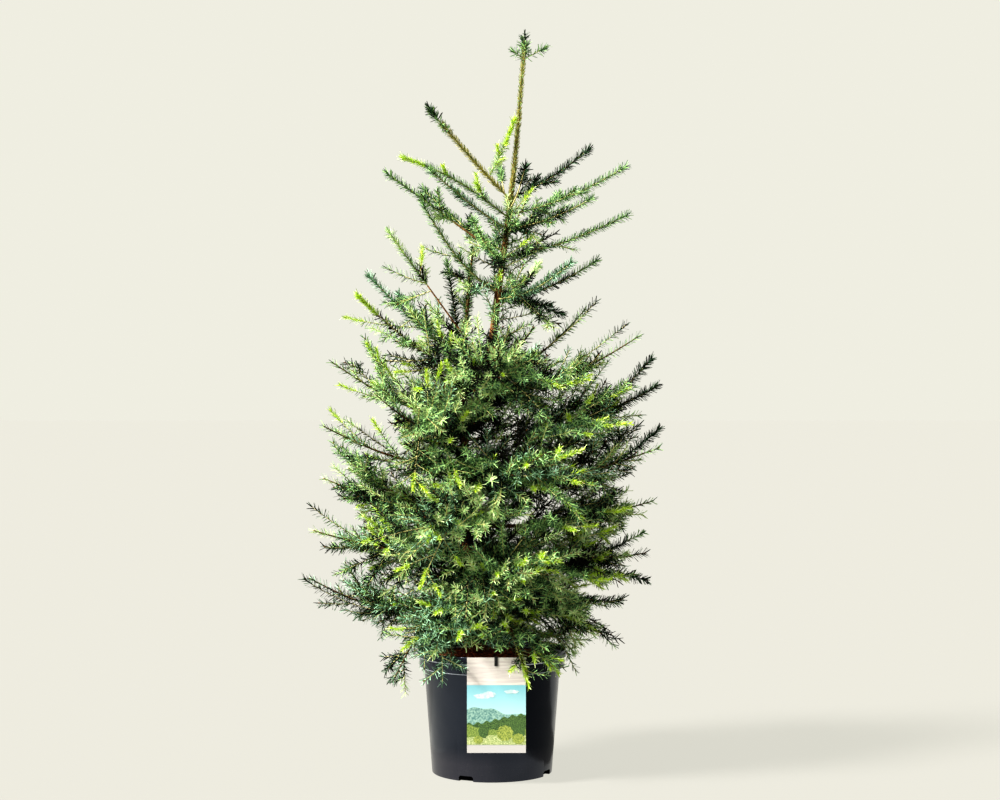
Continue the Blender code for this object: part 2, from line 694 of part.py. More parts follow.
def on_chords(limb, shares, at):
    """The point at a share of a limb on the straight pieces between the rings of its stem."""
    for low, high in zip(shares, shares[1:]):
        if at <= high or high == shares[-1]:
            part = (at - low) / (high - low)
            return limb_point(limb, low).lerp(limb_point(limb, high), part)
    return limb_point(limb, at)


def planned_sprays(limb, rng):
    """Where the sprays leave a stem: place along it, side (0 for the end) and turn (up, down or standing)."""
    plan = [(1.0, 0, 0)]
    for pair in range(limb.pairs):
        for side in (-1, 1):
            turn = side if pair % 2 else -side
            plan.append(((pair + 0.5 + PAIR_OFFSET * side) / limb.pairs, side, turn))
    for k in range(limb.top):
        plan.append(((k + 0.5) / limb.top, rng.choice((-1, 1)), STANDS))
    return plan


def drawn_spray(limb, shares, plan, shrink, rng):
    """One spray drawn by the seeded rule."""
    along, side, turn = plan
    start, end = shares[0], shares[-1]
    roll = rng.choice((-1, 1)) * rng.uniform(FAN_ROLL_LOW, FAN_ROLL_HIGH)
    if side == 0:
        at = end - END_SINK
        foot = on_chords(limb, shares, at)
        length = (limb_point(limb, 1.0) - foot).length
        return spray_body(limb, foot, at, 0.0, 0, 0.0, roll, length, limb.wide * END_WIDTH * shrink)
    first = max(start + BARE_FOOT, FIRST_TWIG)
    at = first + (end - BARE_FOOT - first) * along + rng.uniform(-PLACE_JITTER, PLACE_JITTER)
    foot = on_chords(limb, shares, at)
    angle = FAN_NEAR_ANGLE + (FAN_FAR_ANGLE - FAN_NEAR_ANGLE) * along
    tilt = UPRIGHT_TILT if turn == STANDS else turn * rng.uniform(FAN_TILT_LOW, FAN_TILT_HIGH)
    length = twig_length(limb, along) * shrink * rng.uniform(1.0 - LENGTH_JITTER, 1.0 + LENGTH_JITTER)
    half = limb.wide * (1.0 + shrink) / 2
    return spray_body(limb, foot, at, angle, side, tilt, roll, length, half)


def grow_spray(index, limb, start, space):
    """One mass of foliage: a stem with toothed sprays on it by a seeded rule, joined into one body."""
    rng = random.Random(SEED + SEED_STEP * index)
    name = "foliage_" + limb.name
    end = 1.0 - min(END_SHARE_MOST, limb.twig * END_SHARE_OF_TWIG / limb_length(limb))
    shares = [start + (end - start) * k / (SPRAY_RINGS - 1) for k in range(SPRAY_RINGS)]
    radii = [limb_radius(limb, share) * SPRAY_STEM_SWELL for share in shares]
    radii = radii[:1] + [max(radius, CLAD_RADIUS) for radius in radii[1:]]
    rings = [limb_ring(limb, share, radius, SPRAY_SIDES) for share, radius in zip(shares, radii)]
    stem = tube(name, rings, "needles", smooth=False)
    parts = []
    trees = []
    for plan in planned_sprays(limb, rng):
        for attempt in range(BLADE_TRIES):
            outline, points, faces = drawn_spray(limb, shares, plan, BLADE_SHRINK ** attempt, rng)
            if not space.keeps(index, samples_of(outline)):
                continue
            tree = BVHTree.FromPolygons(points, faces)
            if any(tree.overlap(other) for other in trees):
                continue
            trees.append(tree)
            parts.append(add_object(name + "_spray", points, faces))
            break
    run_boolean(stem, "UNION", parts)
    return stem


LIMB_BY_NAME = {limb.name: limb for limb in LIMBS}


def main():
    """Build every part of the plant and its pot."""
    clear_scene()
    pot = make_pot()
    soil = make_soil()
    label = make_label()
    hook = make_hook()
    trunk = make_stem("trunk", TRUNK_STATIONS, TRUNK_SIDES, TRUNK_RING_STEP, TRUNK_STATIONS[0][0])
    fork = clear_height(SECOND_STATIONS, SECOND_SIDES, tree_of(trunk))
    second = make_stem("second_stem", SECOND_STATIONS, SECOND_SIDES, SECOND_RING_STEP, fork)
    trees = {"trunk": [tree_of(trunk)], "second": [tree_of(second)]}
    space = Space(LIMBS)
    space.trees = [tree_of(obj) for obj in (pot, soil, label, hook, trunk, second)]
    starts = {}
    for limb in LIMBS:
        if not limb.bare:
            continue
        start = clear_start(limb, limb_radius(limb, 0.0), BOUGH_SIDES, trees[limb.stem])
        gap_share = GAP / limb_length(limb)
        if limb.name == SPLIT_LIMB:
            inner = make_bough(limb, start, SPLIT_SHARE, "bough_" + limb.name + "_inner")
            outer = make_bough(limb, SPLIT_SHARE + gap_share, limb.bare, "bough_" + limb.name)
            boughs = [inner, outer]
        else:
            boughs = [make_bough(limb, start, limb.bare, "bough_" + limb.name)]
        trees[limb.name] = [tree_of(bough) for bough in boughs]
        space.trees += trees[limb.name]
        starts[limb.name] = limb.bare + gap_share
    for index, limb in enumerate(LIMBS):
        if limb.name in starts:
            start = starts[limb.name]
        else:
            radius = limb_radius(limb, 0.0) * SPRAY_STEM_SWELL
            start = clear_start(limb, radius, SPRAY_SIDES, trees[limb.stem])
        grow_spray(index, limb, start, space)


main()
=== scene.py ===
"""A young serbian spruce in its nursery pot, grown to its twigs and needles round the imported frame.

Metres, +Z up, the photographed front faces -Y. The origin is the middle of the pot's flat underside.
"""

import math
import random
from collections import namedtuple
from functools import partial

import bmesh
import bpy
import numpy as np
from bpy.props import FloatProperty, FloatVectorProperty, IntProperty, PointerProperty
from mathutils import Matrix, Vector, noise


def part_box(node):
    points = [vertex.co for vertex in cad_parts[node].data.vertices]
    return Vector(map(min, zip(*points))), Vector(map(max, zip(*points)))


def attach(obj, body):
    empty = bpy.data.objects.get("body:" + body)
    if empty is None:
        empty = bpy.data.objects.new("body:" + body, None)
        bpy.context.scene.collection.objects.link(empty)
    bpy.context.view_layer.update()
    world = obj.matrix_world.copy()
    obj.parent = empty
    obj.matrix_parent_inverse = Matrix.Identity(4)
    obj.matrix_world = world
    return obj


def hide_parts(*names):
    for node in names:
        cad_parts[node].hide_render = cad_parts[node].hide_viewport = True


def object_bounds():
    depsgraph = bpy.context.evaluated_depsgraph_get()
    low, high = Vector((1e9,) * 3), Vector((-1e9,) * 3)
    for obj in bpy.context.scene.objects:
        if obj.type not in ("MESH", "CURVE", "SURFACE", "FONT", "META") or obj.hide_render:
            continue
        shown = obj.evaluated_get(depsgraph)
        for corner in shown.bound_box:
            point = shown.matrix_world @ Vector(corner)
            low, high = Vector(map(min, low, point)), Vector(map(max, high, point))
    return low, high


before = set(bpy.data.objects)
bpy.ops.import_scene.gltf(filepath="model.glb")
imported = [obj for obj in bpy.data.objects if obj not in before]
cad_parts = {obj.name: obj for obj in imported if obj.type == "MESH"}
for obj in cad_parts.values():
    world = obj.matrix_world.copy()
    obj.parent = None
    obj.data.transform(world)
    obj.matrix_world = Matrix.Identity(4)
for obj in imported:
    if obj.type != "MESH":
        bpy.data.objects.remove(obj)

CAD_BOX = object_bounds()

bl_info = {
    "name": "Potted serbian spruce",
    "version": (1, 0, 0),
    "blender": (4, 5, 0),
    "location": "3D View > Sidebar > Spruce",
    "description": "Grows a young spruce in a nursery pot: bark, twigs, needles, compost, pot and card label",
    "category": "Object",
}

BODY = "root"
UP = Vector((0.0, 0.0, 1.0))
MM = 0.001


def table(text):
    """The rows of a plain table, with each number in it as a number."""
    def value(word):
        try:
            return float(word) if "." in word else int(word)
        except ValueError:
            return word

    return [[value(word) for word in line.split()] for line in text.strip().splitlines()]


# The stems: height, sideways, depth and radius at a few stations, with a smooth curve between them
TRUNK_STATIONS = (
    (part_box("trunk")[0].z, -0.0230, 0.0000, 0.0190),
    (0.2400, -0.0260, 0.0000, 0.0150),
    (0.3260, -0.0400, 0.0020, 0.0128),
    (0.5110, -0.0490, 0.0050, 0.0090),
    (0.6530, -0.0490, 0.0030, 0.0078),
    (0.7660, -0.0100, 0.0000, 0.0070),
    (0.9270, 0.0150, -0.0030, 0.0064),
    (1.0690, 0.0340, 0.0000, 0.0046),
    (1.1730, 0.0450, 0.0020, 0.0033),
    (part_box("trunk")[1].z, 0.0615, 0.0000, 0.0016),
)
SECOND_STATIONS = (
    (0.6530, -0.0490, 0.0030, 0.0050),
    (0.7000, -0.0535, 0.0010, 0.0048),
    (0.7380, -0.0540, -0.0010, 0.0047),
    (0.8040, -0.0510, -0.0020, 0.0044),
    (0.8700, -0.0470, -0.0010, 0.0036),
    (0.9360, -0.0420, 0.0060, 0.0026),
    (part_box("second_stem")[1].z, -0.0350, 0.0110, 0.0013),
)

# Each limb: its name, parent stem and height on it, heading in degrees (0 right, 90 back, 180 left, -90
# front), reach out from the stem, rise to the tip, sag under the straight line, share of the limb that is a
# bare bough, length of the side twigs, and pairs of them in the solid that this foliage replaces
Limb = namedtuple("Limb", "name stem height heading reach rise sag bare twig pairs")
LIMBS = [Limb(*row) for row in table("""
leader trunk 1.3720 90 0.003 0.0255 0.000 0.0 0.036 1
1_left trunk 1.078 172 0.155 0.174 0.004 0.84 0.020 2
1_inner 1_left 0.270 -20 0.052 0.106 0.006 0.0 0.026 2
1_right_high trunk 1.080 6 0.148 0.095 0.008 0.0 0.042 2
1_right trunk 1.050 -9 0.219 0.085 0.012 0.0 0.052 3
1_left_low trunk 1.044 186 0.198 0.111 -0.014 0.0 0.050 3
1_front trunk 1.060 -80 0.160 0.060 0.010 0.0 0.052 2
1_back trunk 1.060 96 0.175 0.100 0.010 0.0 0.052 2
2_left_front trunk 1.022 212 0.165 0.100 0.005 0.0 0.052 2
2_right_front trunk 1.022 -32 0.182 0.047 0.008 0.0 0.056 2
2_right_back trunk 1.016 58 0.195 0.090 0.010 0.0 0.056 3
3_left trunk 0.968 176 0.219 0.161 0.000 0.42 0.050 3
3_left_back trunk 0.980 142 0.200 0.132 0.010 0.0 0.056 3
3_right trunk 0.968 4 0.234 0.082 0.010 0.0 0.062 3
3_front trunk 0.962 -106 0.195 0.060 0.012 0.0 0.064 3
4_left_front trunk 0.902 200 0.150 0.163 0.024 0.0 0.056 3
4_right trunk 0.884 10 0.192 0.081 0.012 0.0 0.074 3
4_right_front trunk 0.890 -54 0.225 0.055 0.014 0.0 0.080 3
4_back trunk 0.892 70 0.240 0.080 0.014 0.0 0.080 3
5_left_high second 0.817 184 0.143 0.197 0.000 0.50 0.084 3
5_left second 0.775 174 0.182 0.161 0.010 0.0 0.090 3
5_left_front second 0.748 212 0.225 0.142 0.014 0.0 0.110 3
5_left_back second 0.790 126 0.230 0.120 0.012 0.0 0.110 3
6_right_high trunk 0.750 14 0.205 0.130 0.030 0.0 0.110 3
6_right trunk 0.705 -8 0.316 0.118 0.026 0.0 0.130 5
6_front trunk 0.742 -74 0.250 0.060 0.016 0.0 0.130 4
6_back trunk 0.730 66 0.290 0.085 0.020 0.0 0.130 5
7_left trunk 0.655 176 0.262 0.121 0.018 0.0 0.140 5
7_right trunk 0.625 6 0.350 0.090 0.024 0.24 0.140 5
7_left_front trunk 0.632 236 0.280 0.080 0.022 0.0 0.140 5
7_back trunk 0.640 104 0.310 0.080 0.022 0.0 0.140 4
8_left trunk 0.570 188 0.272 0.084 0.018 0.0 0.140 5
8_right trunk 0.545 -8 0.372 0.068 0.022 0.0 0.144 5
8_right_front trunk 0.560 -60 0.300 0.050 0.020 0.0 0.144 5
8_right_back trunk 0.556 46 0.320 0.060 0.022 0.0 0.144 5
9_left trunk 0.490 170 0.285 0.062 0.016 0.0 0.140 5
9_right trunk 0.462 8 0.366 0.046 0.018 0.26 0.140 5
9_front trunk 0.478 -104 0.290 0.020 0.016 0.0 0.144 4
9_left_back trunk 0.470 132 0.310 0.035 0.018 0.0 0.144 5
10_left trunk 0.410 194 0.300 0.050 0.014 0.0 0.136 4
10_right trunk 0.385 -6 0.340 0.030 0.012 0.0 0.140 5
10_front trunk 0.392 -66 0.290 0.005 0.008 0.0 0.136 5
10_back trunk 0.390 76 0.310 0.010 0.010 0.0 0.136 4
11_left trunk 0.325 178 0.312 0.040 0.040 0.36 0.110 4
11_left_front trunk 0.290 222 0.200 -0.110 -0.062 0.0 0.090 3
11_right trunk 0.300 8 0.262 -0.040 -0.040 0.0 0.100 4
11_front trunk 0.300 -58 0.195 -0.105 -0.066 0.0 0.074 3
""")]
LIMB_BY_NAME = {limb.name: limb for limb in LIMBS}
SEED = 4211
SEED_STEP = 31

# The limbs' thickness, and how finely their lines are measured
LIMB_BASE_SHARE = 0.42
LIMB_BASE_MOST = 0.0044
LIMB_TIP_RADIUS = 0.0011
FRAME_STEP = 0.02
AXIS_STEPS = 16

# How side twigs leave a limb, as in the solids: angles to it, tilt out of its plane, and length along it
FAN_NEAR_ANGLE = math.radians(62)
FAN_FAR_ANGLE = math.radians(30)
FAN_TILTS = tuple(math.radians(t) for t in (14, -22, 62, -8, 34, -64, 4, -42, 78, 22))
FAN_TILT_JITTER = math.radians(10)
FAN_ROLL_LOW = math.radians(15)
FAN_ROLL_HIGH = math.radians(75)
PAIR_OFFSET = 0.22
PLACE_JITTER = 0.012
LENGTH_JITTER = 0.12
FIRST_TWIG = 0.05
LAST_TWIG = 0.070
TWIG_CLOSE = 0.55
TWIG_CLOSE_SHARE = 1.4
PLACE_POWER = 1.25
FINE_OUTERMOST = 0.72
BARE_FOOT = 0.03
TWIG_LEAST = 0.50
TWIG_SWELL = 0.61
TWIG_SWELL_SHIFT = 0.16
TWIG_SWELL_END = 0.94

# Limbs that leave the trunk above this height have the bark of young twigs, and bristle like a brush
YOUNG_LIMBS = 0.86
BRUSH_LAYERS = 3
BRUSH_SIZE = 0.86

# A limb's own line, by shares of its length: the end of its old bark, the start of its needles, and its tip
OLD_BARK_END = 0.58
OLD_WOOD_START = 0.55
WOOD_OVERLAP = 0.9
LONG_BARE = 0.4
CLAD_AFTER_BARE = 0.01
CLAD_BRUSH = 0.05
CLAD_PLAIN = 0.14
LIMB_END_LENGTH = 0.050

# How a side twig turns up or down towards its end, and where on it room is tested
DROOP_RISE = 0.052
DROOP_SIDE = -0.3
DROOP_TURN = (-0.30, 0.06)
RISE_TURN = (0.02, 0.14, 0.22)
SIDE_TESTS = (0.4, 0.7, 1.0)
TILT_FADES = 0.4

# How finer twigs leave a side twig
FINE_SPACING = 0.0270
FINE_FIRST = 0.16
FINE_LAST = 0.86
FINE_ANGLE = math.radians(44)
FINE_LENGTH = 0.98
FINE_TAPER = 0.60
FINE_MOST = 0.095
FINE_LEAST = 0.022
FINE_LENGTH_RANGE = (0.7, 1.15)
FINE_ANGLE_RANGE = (0.8, 1.15)
FINE_LEAN = 0.35
FINE_TURN = (-0.05, 0.18)
FINE_TEST = 0.8

# The longest side twigs of a limb that bristles, and how many times the pairs of the solids by their length
THIN_TWIG = 0.062
PAIR_SHARES = ((0.100, 2.1), (0.085, 1.7), (0.070, 0.9), (0.000, 0.4))

# One twig: thickness by its rank and at its tip, step along it, lengths of its needled end, and its bud
SIDE_RADIUS = 0.0016
FINE_RADIUS = 0.0011
SHORT_RADIUS = 0.0010
TWIG_TAPER = 0.45
TWIG_STEP = 0.014
NEEDLES_FROM = 0.04
TIP_LENGTH = 0.030
FRESH_LENGTH = 0.020
FRESH_SHARE = 0.12
LEAST_BASE = 0.1
NEEDLE_TIP = 0.008
BUD_SHARE = 0.6
BUD_LENGTH = 0.0052
TUFT_TURNS = (-0.1, 0.0, 0.1, 0.2)

# How kinds of needle are dealt out: light by heading, weights of each kind, and shares of other tips
# Darker kinds go to the crown's inside and to the side away from the key light as painted shade, paler ones
# to the lit side as painted light
LIGHT_LEFT = 0.20
LIGHT_FRONT = 0.30
INNER_END = 0.42
SHADE_WEIGHTS = (0.12, 1.3, 0.42)
DARK_WEIGHT = 0.55
BLUE_WEIGHTS = (0.22, 0.18)
MID_WEIGHTS = (0.35, 0.45)
THIN_TIPS = (0.55, 0.85)
FRESH_TIPS = 0.12
LIGHT_TIPS = (0.20, 0.24)

# Each kind of needle: its length, width and spacing as shares of the full-grown ones, angle to the twig,
# share of the spread that it keeps below the twig, roughness, and the kind that is mixed with it on a shoot
# The darker second kind stands partly for needles of that colour and partly as painted shade between the
# paler needles
NeedleKind = namedtuple("NeedleKind", "length width spacing angle below roughness second")
NEEDLE_KINDS = {name: NeedleKind(*rule) for name, *rule in table("""
shade 1.10 1.35 1.00 66 0.80 0.50 none
dark 1.00 1.00 1.00 66 0.65 0.42 shade
blue 1.00 1.00 1.00 70 0.65 0.48 dark
mid 1.00 1.00 1.00 66 0.65 0.45 dark
light 0.98 1.00 0.90 62 0.75 0.48 mid
fresh 0.66 0.90 0.30 46 1.00 0.52 light
leader 0.95 0.90 0.16 34 1.00 0.55 mid
""")}

# How single limbs differ from the rule: shares of the pairs, of the twigs' length and of their tilt, and the
# kinds of needle on their sprays and tips where these are marked
Habit = namedtuple("Habit", "pairs twig tilt tones")
PLAIN_HABIT = Habit(1.0, 1.0, 1.0, None)
HABITS = {name: Habit(pairs, twig, tilt, tones) for name, pairs, twig, tilt, *tones in table("""
1_left 0.0 1.0 1.0
1_inner 1.0 1.0 1.0 light fresh
1_right_high 1.0 1.0 1.0 dark dark
1_right 1.0 1.2 1.0 mid mid
1_left_low 1.0 1.1 0.6 mid fresh
1_front 0.0 1.0 1.0 bare dark
1_back 0.0 1.0 1.0 bare mid
2_left_front 1.0 1.1 1.0
3_left_back 0.8 0.80 1.0
4_left_front 0.6 0.80 1.0
4_back 0.5 0.70 1.0
4_right_front 0.6 0.80 1.0
4_right 0.9 0.6 0.6 dark mid
5_left_high 0.7 0.50 0.6
5_left 0.8 0.8 0.5
5_left_front 0.6 0.75 0.8
5_left_back 0.5 0.60 0.8
6_right_high 0.7 0.55 0.6 dark mid
6_right 0.9 0.85 0.7
7_left 0.9 0.80 0.5
7_right 1.0 1.0 1.3
8_left 0.9 0.90 0.6
8_right 1.1 1.0 1.6
9_left 1.0 0.85 0.6
9_right 1.1 1.0 1.6
10_left 1.0 0.80 0.6
10_right 1.1 1.0 1.5
11_left 0.8 0.8 0.8 dark blue
11_left_front 1.6 1.25 1.0 dark blue
11_right 1.8 1.45 1.3
11_front 1.5 1.20 0.8 mid fresh
""")}

# Shoots that stand on the stems themselves between the limbs: each stem, and the heights from and to
STEM_SHOOTS = ((TRUNK_STATIONS, 0.33, 1.04), (SECOND_STATIONS, 0.68, 0.93))
STEM_SHOOT_SPACING = 0.0060
STEM_SHOOT_ANGLE = math.radians(62)
STEM_SHOOT_LENGTH = 0.125
STEM_SHOOT_SHARES = (0.25, 0.4, 0.55, 0.7)
BARE_STEM = (0.850, 0.935)
THIN_STEM = 0.730
SHORTER_FROM = 0.66
SHORTER_OVER = 0.22
SHORTER_BY = 0.62
IN_BARK = 0.7

# The drooping sprays round the trunk's foot
SKIRT_SPRAYS = 54
SKIRT_LOW = 0.250
SKIRT_HIGH = 0.380
SKIRT_LENGTH = 0.150
SKIRT_SHARES = (0.3, 0.42, 0.54, 0.66, 0.78)
SKIRT_TESTS = (0.4, 0.6, 0.8, 1.0)

# The side shoots of a spray: the way that they leave it, their length, and how many have the spray's own tip
SPRAY_AHEAD = 0.75
SPRAY_ASIDE = 0.66
SPRAY_LENGTH = 0.56
SPRAY_TAPER = 0.34
SAME_TIPS = 0.3

# Room that a twig needs
BOX_MARGIN = 0.006
STEM_CLEAR = 0.004
POT_CLEAR = 0.008
GROUND_CLEAR = 0.012
TRY_SHRINK = 0.88
TRIES = 9

# Single shoots that stand out on the trunk: height, heading, rise, length, and kinds of needle on it
SPRIGS = table("""
1.344 0 0.45 0.046 mid mid
1.344 176 0.75 0.018 mid mid
1.348 80 0.90 0.020 mid mid
1.350 290 1.30 0.018 mid mid
1.356 120 4.00 0.018 mid mid
1.048 -52 0.50 0.078 light fresh
0.968 -36 0.45 0.070 mid fresh
0.905 -84 0.60 0.055 mid fresh
1.075 8 0.95 0.052 bare dark
0.960 6 0.25 0.080 dark light
0.950 -24 0.30 0.085 mid mid
0.935 10 0.45 0.070 dark mid
0.970 30 0.30 0.080 mid mid
0.865 20 0.30 0.075 mid light
0.850 -12 0.10 0.080 dark mid
0.845 -88 0.50 0.060 mid mid
0.800 25 0.50 0.075 mid light
0.812 -20 0.30 0.080 dark mid
0.985 15 0.15 0.075 mid mid
1.010 -60 0.60 0.055 mid light
1.000 -120 0.60 0.050 dark mid
0.872 -50 0.40 0.065 mid light
0.945 186 0.45 0.085 dark light
0.985 200 0.15 0.075 mid mid
1.048 -96 0.80 0.045 mid light
1.022 -76 0.60 0.050 light mid
0.942 -98 0.50 0.050 dark mid
""")
SPRIG_TUFTS = 1.3
SPRIG_TUFT_AT = 0.7
SPRIG_TURN = 0.1

# Long sprays that arch to a point of their own: limb and share along it, tip, arch, and kinds of needle
ARCHES = table("""
11_front 0.45 0.067 -0.178 0.186 0.28 dark fresh
11_front 0.30 0.106 -0.150 0.214 0.25 mid fresh
11_front 0.60 0.121 -0.130 0.203 0.30 dark fresh
11_front 0.15 -0.047 -0.130 0.252 0.15 dark light
11_front 0.25 0.012 -0.136 0.262 0.15 blue mid
11_left_front 0.40 -0.089 -0.150 0.191 0.35 blue blue
11_left_front 0.60 -0.123 -0.120 0.210 0.30 blue blue
11_left_front 0.85 -0.160 -0.080 0.159 0.35 dark light
11_left_front 0.80 -0.197 -0.060 0.195 0.30 dark dark
11_left_front 0.30 -0.075 -0.120 0.258 0.15 dark light
11_right 0.60 0.230 0.000 0.236 0.20 shade mid
11_right 0.50 0.242 0.030 0.312 0.05 dark mid
11_right 0.40 0.190 -0.060 0.262 0.15 dark light
10_left 0.35 -0.190 -0.060 0.330 0.15 dark light
10_left 0.30 -0.150 -0.070 0.320 0.15 blue mid
10_left 0.50 -0.235 -0.045 0.345 0.12 dark mid
10_right 0.45 0.215 0.020 0.350 0.12 dark mid
7_left 0.50 -0.236 0.000 0.806 0.00 mid fresh
7_left 0.60 -0.269 0.050 0.771 0.00 dark mid
5_left_front 0.45 -0.217 -0.150 0.830 0.00 mid light
4_right 0.20 0.091 -0.060 0.852 0.05 mid mid
4_right_front 0.30 0.112 -0.120 0.833 0.00 dark light
9_left 0.50 -0.246 -0.050 0.583 0.00 mid light
9_left 0.55 -0.278 0.000 0.513 0.05 dark mid
8_right 0.70 0.259 0.030 0.647 0.00 dark dark
11_left 0.26 -0.355 0.000 0.362 -0.45 dark dark
10_right 0.55 0.250 -0.050 0.365 0.10 mid fresh
6_front 0.30 0.065 -0.160 0.678 0.15 mid light
6_front 0.45 0.101 -0.200 0.668 0.10 dark mid
6_back 0.30 0.094 0.150 0.680 0.10 dark dark
6_back 0.40 0.135 0.200 0.650 0.00 shade dark
7_right 0.35 0.158 0.030 0.690 0.10 dark mid
8_right_front 0.30 0.096 -0.160 0.538 0.10 mid fresh
8_right_front 0.45 0.131 -0.200 0.561 0.10 blue light
8_right_back 0.35 0.103 0.140 0.513 0.05 dark dark
8_right_back 0.25 0.064 0.120 0.495 0.05 shade dark
9_front 0.35 0.069 -0.180 0.494 0.10 mid light
8_right_back 0.50 0.165 0.200 0.520 0.05 shade dark
6_right 0.30 0.180 -0.100 0.738 0.05 mid fresh
7_right 0.45 0.255 -0.060 0.722 0.05 mid fresh
6_front 0.50 0.124 -0.200 0.723 0.05 mid fresh
7_right 0.35 0.178 -0.160 0.637 0.10 blue fresh
7_right 0.50 0.214 -0.150 0.653 0.05 mid fresh
8_right_front 0.50 0.140 -0.210 0.603 0.05 mid fresh
8_right_front 0.60 0.182 -0.190 0.549 0.05 dark fresh
8_right_front 0.70 0.160 -0.210 0.492 0.15 mid fresh
9_right 0.50 0.229 -0.100 0.496 0.10 dark fresh
9_right 0.30 0.148 -0.190 0.467 0.10 mid fresh
10_front 0.50 0.122 -0.210 0.413 0.15 mid fresh
10_front 0.35 0.056 -0.210 0.377 0.15 blue fresh
10_right 0.45 0.192 -0.120 0.365 0.15 mid fresh
9_front 0.30 -0.105 -0.210 0.476 0.10 blue fresh
7_left_front 0.30 -0.057 -0.210 0.549 0.10 mid fresh
7_left_front 0.50 -0.140 -0.205 0.540 0.10 dark fresh
10_left 0.55 -0.305 -0.020 0.421 0.00 mid dark
10_left 0.50 -0.283 0.000 0.374 0.05 dark mid
11_left 0.40 -0.238 -0.030 0.322 0.05 dark mid
9_left 0.55 -0.288 -0.020 0.535 0.00 dark mid
5_left_high 0.45 -0.195 0.020 0.880 0.00 mid light
5_left 0.55 -0.205 -0.020 0.812 0.00 mid mid
9_left 0.50 -0.299 0.020 0.611 0.00 mid mid
9_left 0.42 -0.262 -0.040 0.600 0.00 dark mid
8_left 0.45 -0.270 -0.030 0.660 0.00 dark light
3_right 0.10 0.096 -0.040 0.986 0.00 dark mid
2_right_front 0.20 0.085 -0.060 0.992 0.10 dark light
6_front 0.15 -0.030 -0.130 0.740 0.00 mid light
6_front 0.25 0.020 -0.170 0.745 0.00 mid fresh
6_front 0.20 0.000 -0.140 0.705 0.10 blue light
7_left_front 0.20 -0.085 -0.140 0.725 0.00 mid light
10_front 0.40 0.075 -0.200 0.345 0.15 mid light
10_right 0.30 0.125 -0.140 0.335 0.12 mid light
11_right 0.45 0.165 -0.090 0.300 0.10 mid light
""")
ARCH_SHARES = (0.26, 0.38, 0.50, 0.62, 0.74, 0.84)

# Single bristling shoots that end in a point of their own: limb and share along it, tip, and kinds of needle
LONG_TIPS = table("""
5_left 0.45 -0.277 -0.010 0.856 mid fresh
7_left 0.50 -0.285 -0.030 0.728 mid fresh
8_left 0.65 -0.306 0.000 0.681 mid fresh
8_left 0.45 -0.220 -0.080 0.663 mid fresh
8_left 0.70 -0.295 0.020 0.643 mid light
9_left 0.65 -0.296 -0.030 0.576 mid light
10_left 0.60 -0.338 -0.020 0.499 mid dark
6_right_high 0.60 0.196 0.000 0.885 mid dark
6_right 0.35 0.255 0.030 0.843 mid dark
7_right 0.70 0.299 -0.020 0.777 dark dark
7_right 0.75 0.313 0.020 0.727 dark dark
7_right 0.70 0.277 -0.030 0.672 mid mid
8_right 0.75 0.315 0.000 0.645 dark dark
10_right 0.55 0.282 -0.020 0.450 dark mid
10_right 0.70 0.291 0.000 0.360 dark dark
10_right 0.55 0.252 -0.040 0.412 dark light
4_right 0.25 0.133 0.020 0.863 dark dark
4_right 0.15 0.109 -0.030 0.878 dark dark
5_left_high 0.52 -0.202 0.000 0.951 mid mid
4_left_front 0.55 -0.122 -0.020 0.984 mid mid
5_left_high 0.10 -0.085 0.000 0.961 dark mid
""")
LONG_TIP_SAG = 0.12

# Needles on the stems themselves: stem, heights from and to, steps, sizes and openings at its ends, kinds
SECOND_TOP = SECOND_STATIONS[-1][0]
STEM_COATS = (
    (TRUNK_STATIONS, 0.990, 1.08, 6, (0.85, 0.85), (1.2, 1.0), ("mid", "mid", "light", "dark", "mid")),
    (SECOND_STATIONS, 0.83, SECOND_TOP, 10, (0.8, 0.8), (1.0, 1.0), ("mid", "dark", "light", "mid")),
    (SECOND_STATIONS, 0.82, 0.95, 6, (0.9, 0.8), (1.3, 1.2), ("mid", "dark", "mid")),
)
LEADER_FOOT = 1.000
LEADER_STEPS = 24
BARE_LIMB = "1_left"
BARE_LIMB_ENDS = (0.08, 0.84)
BARE_LIMB_STEPS = 16
BARE_LIMB_TUFTS = (0.90, 0.94, 0.97)

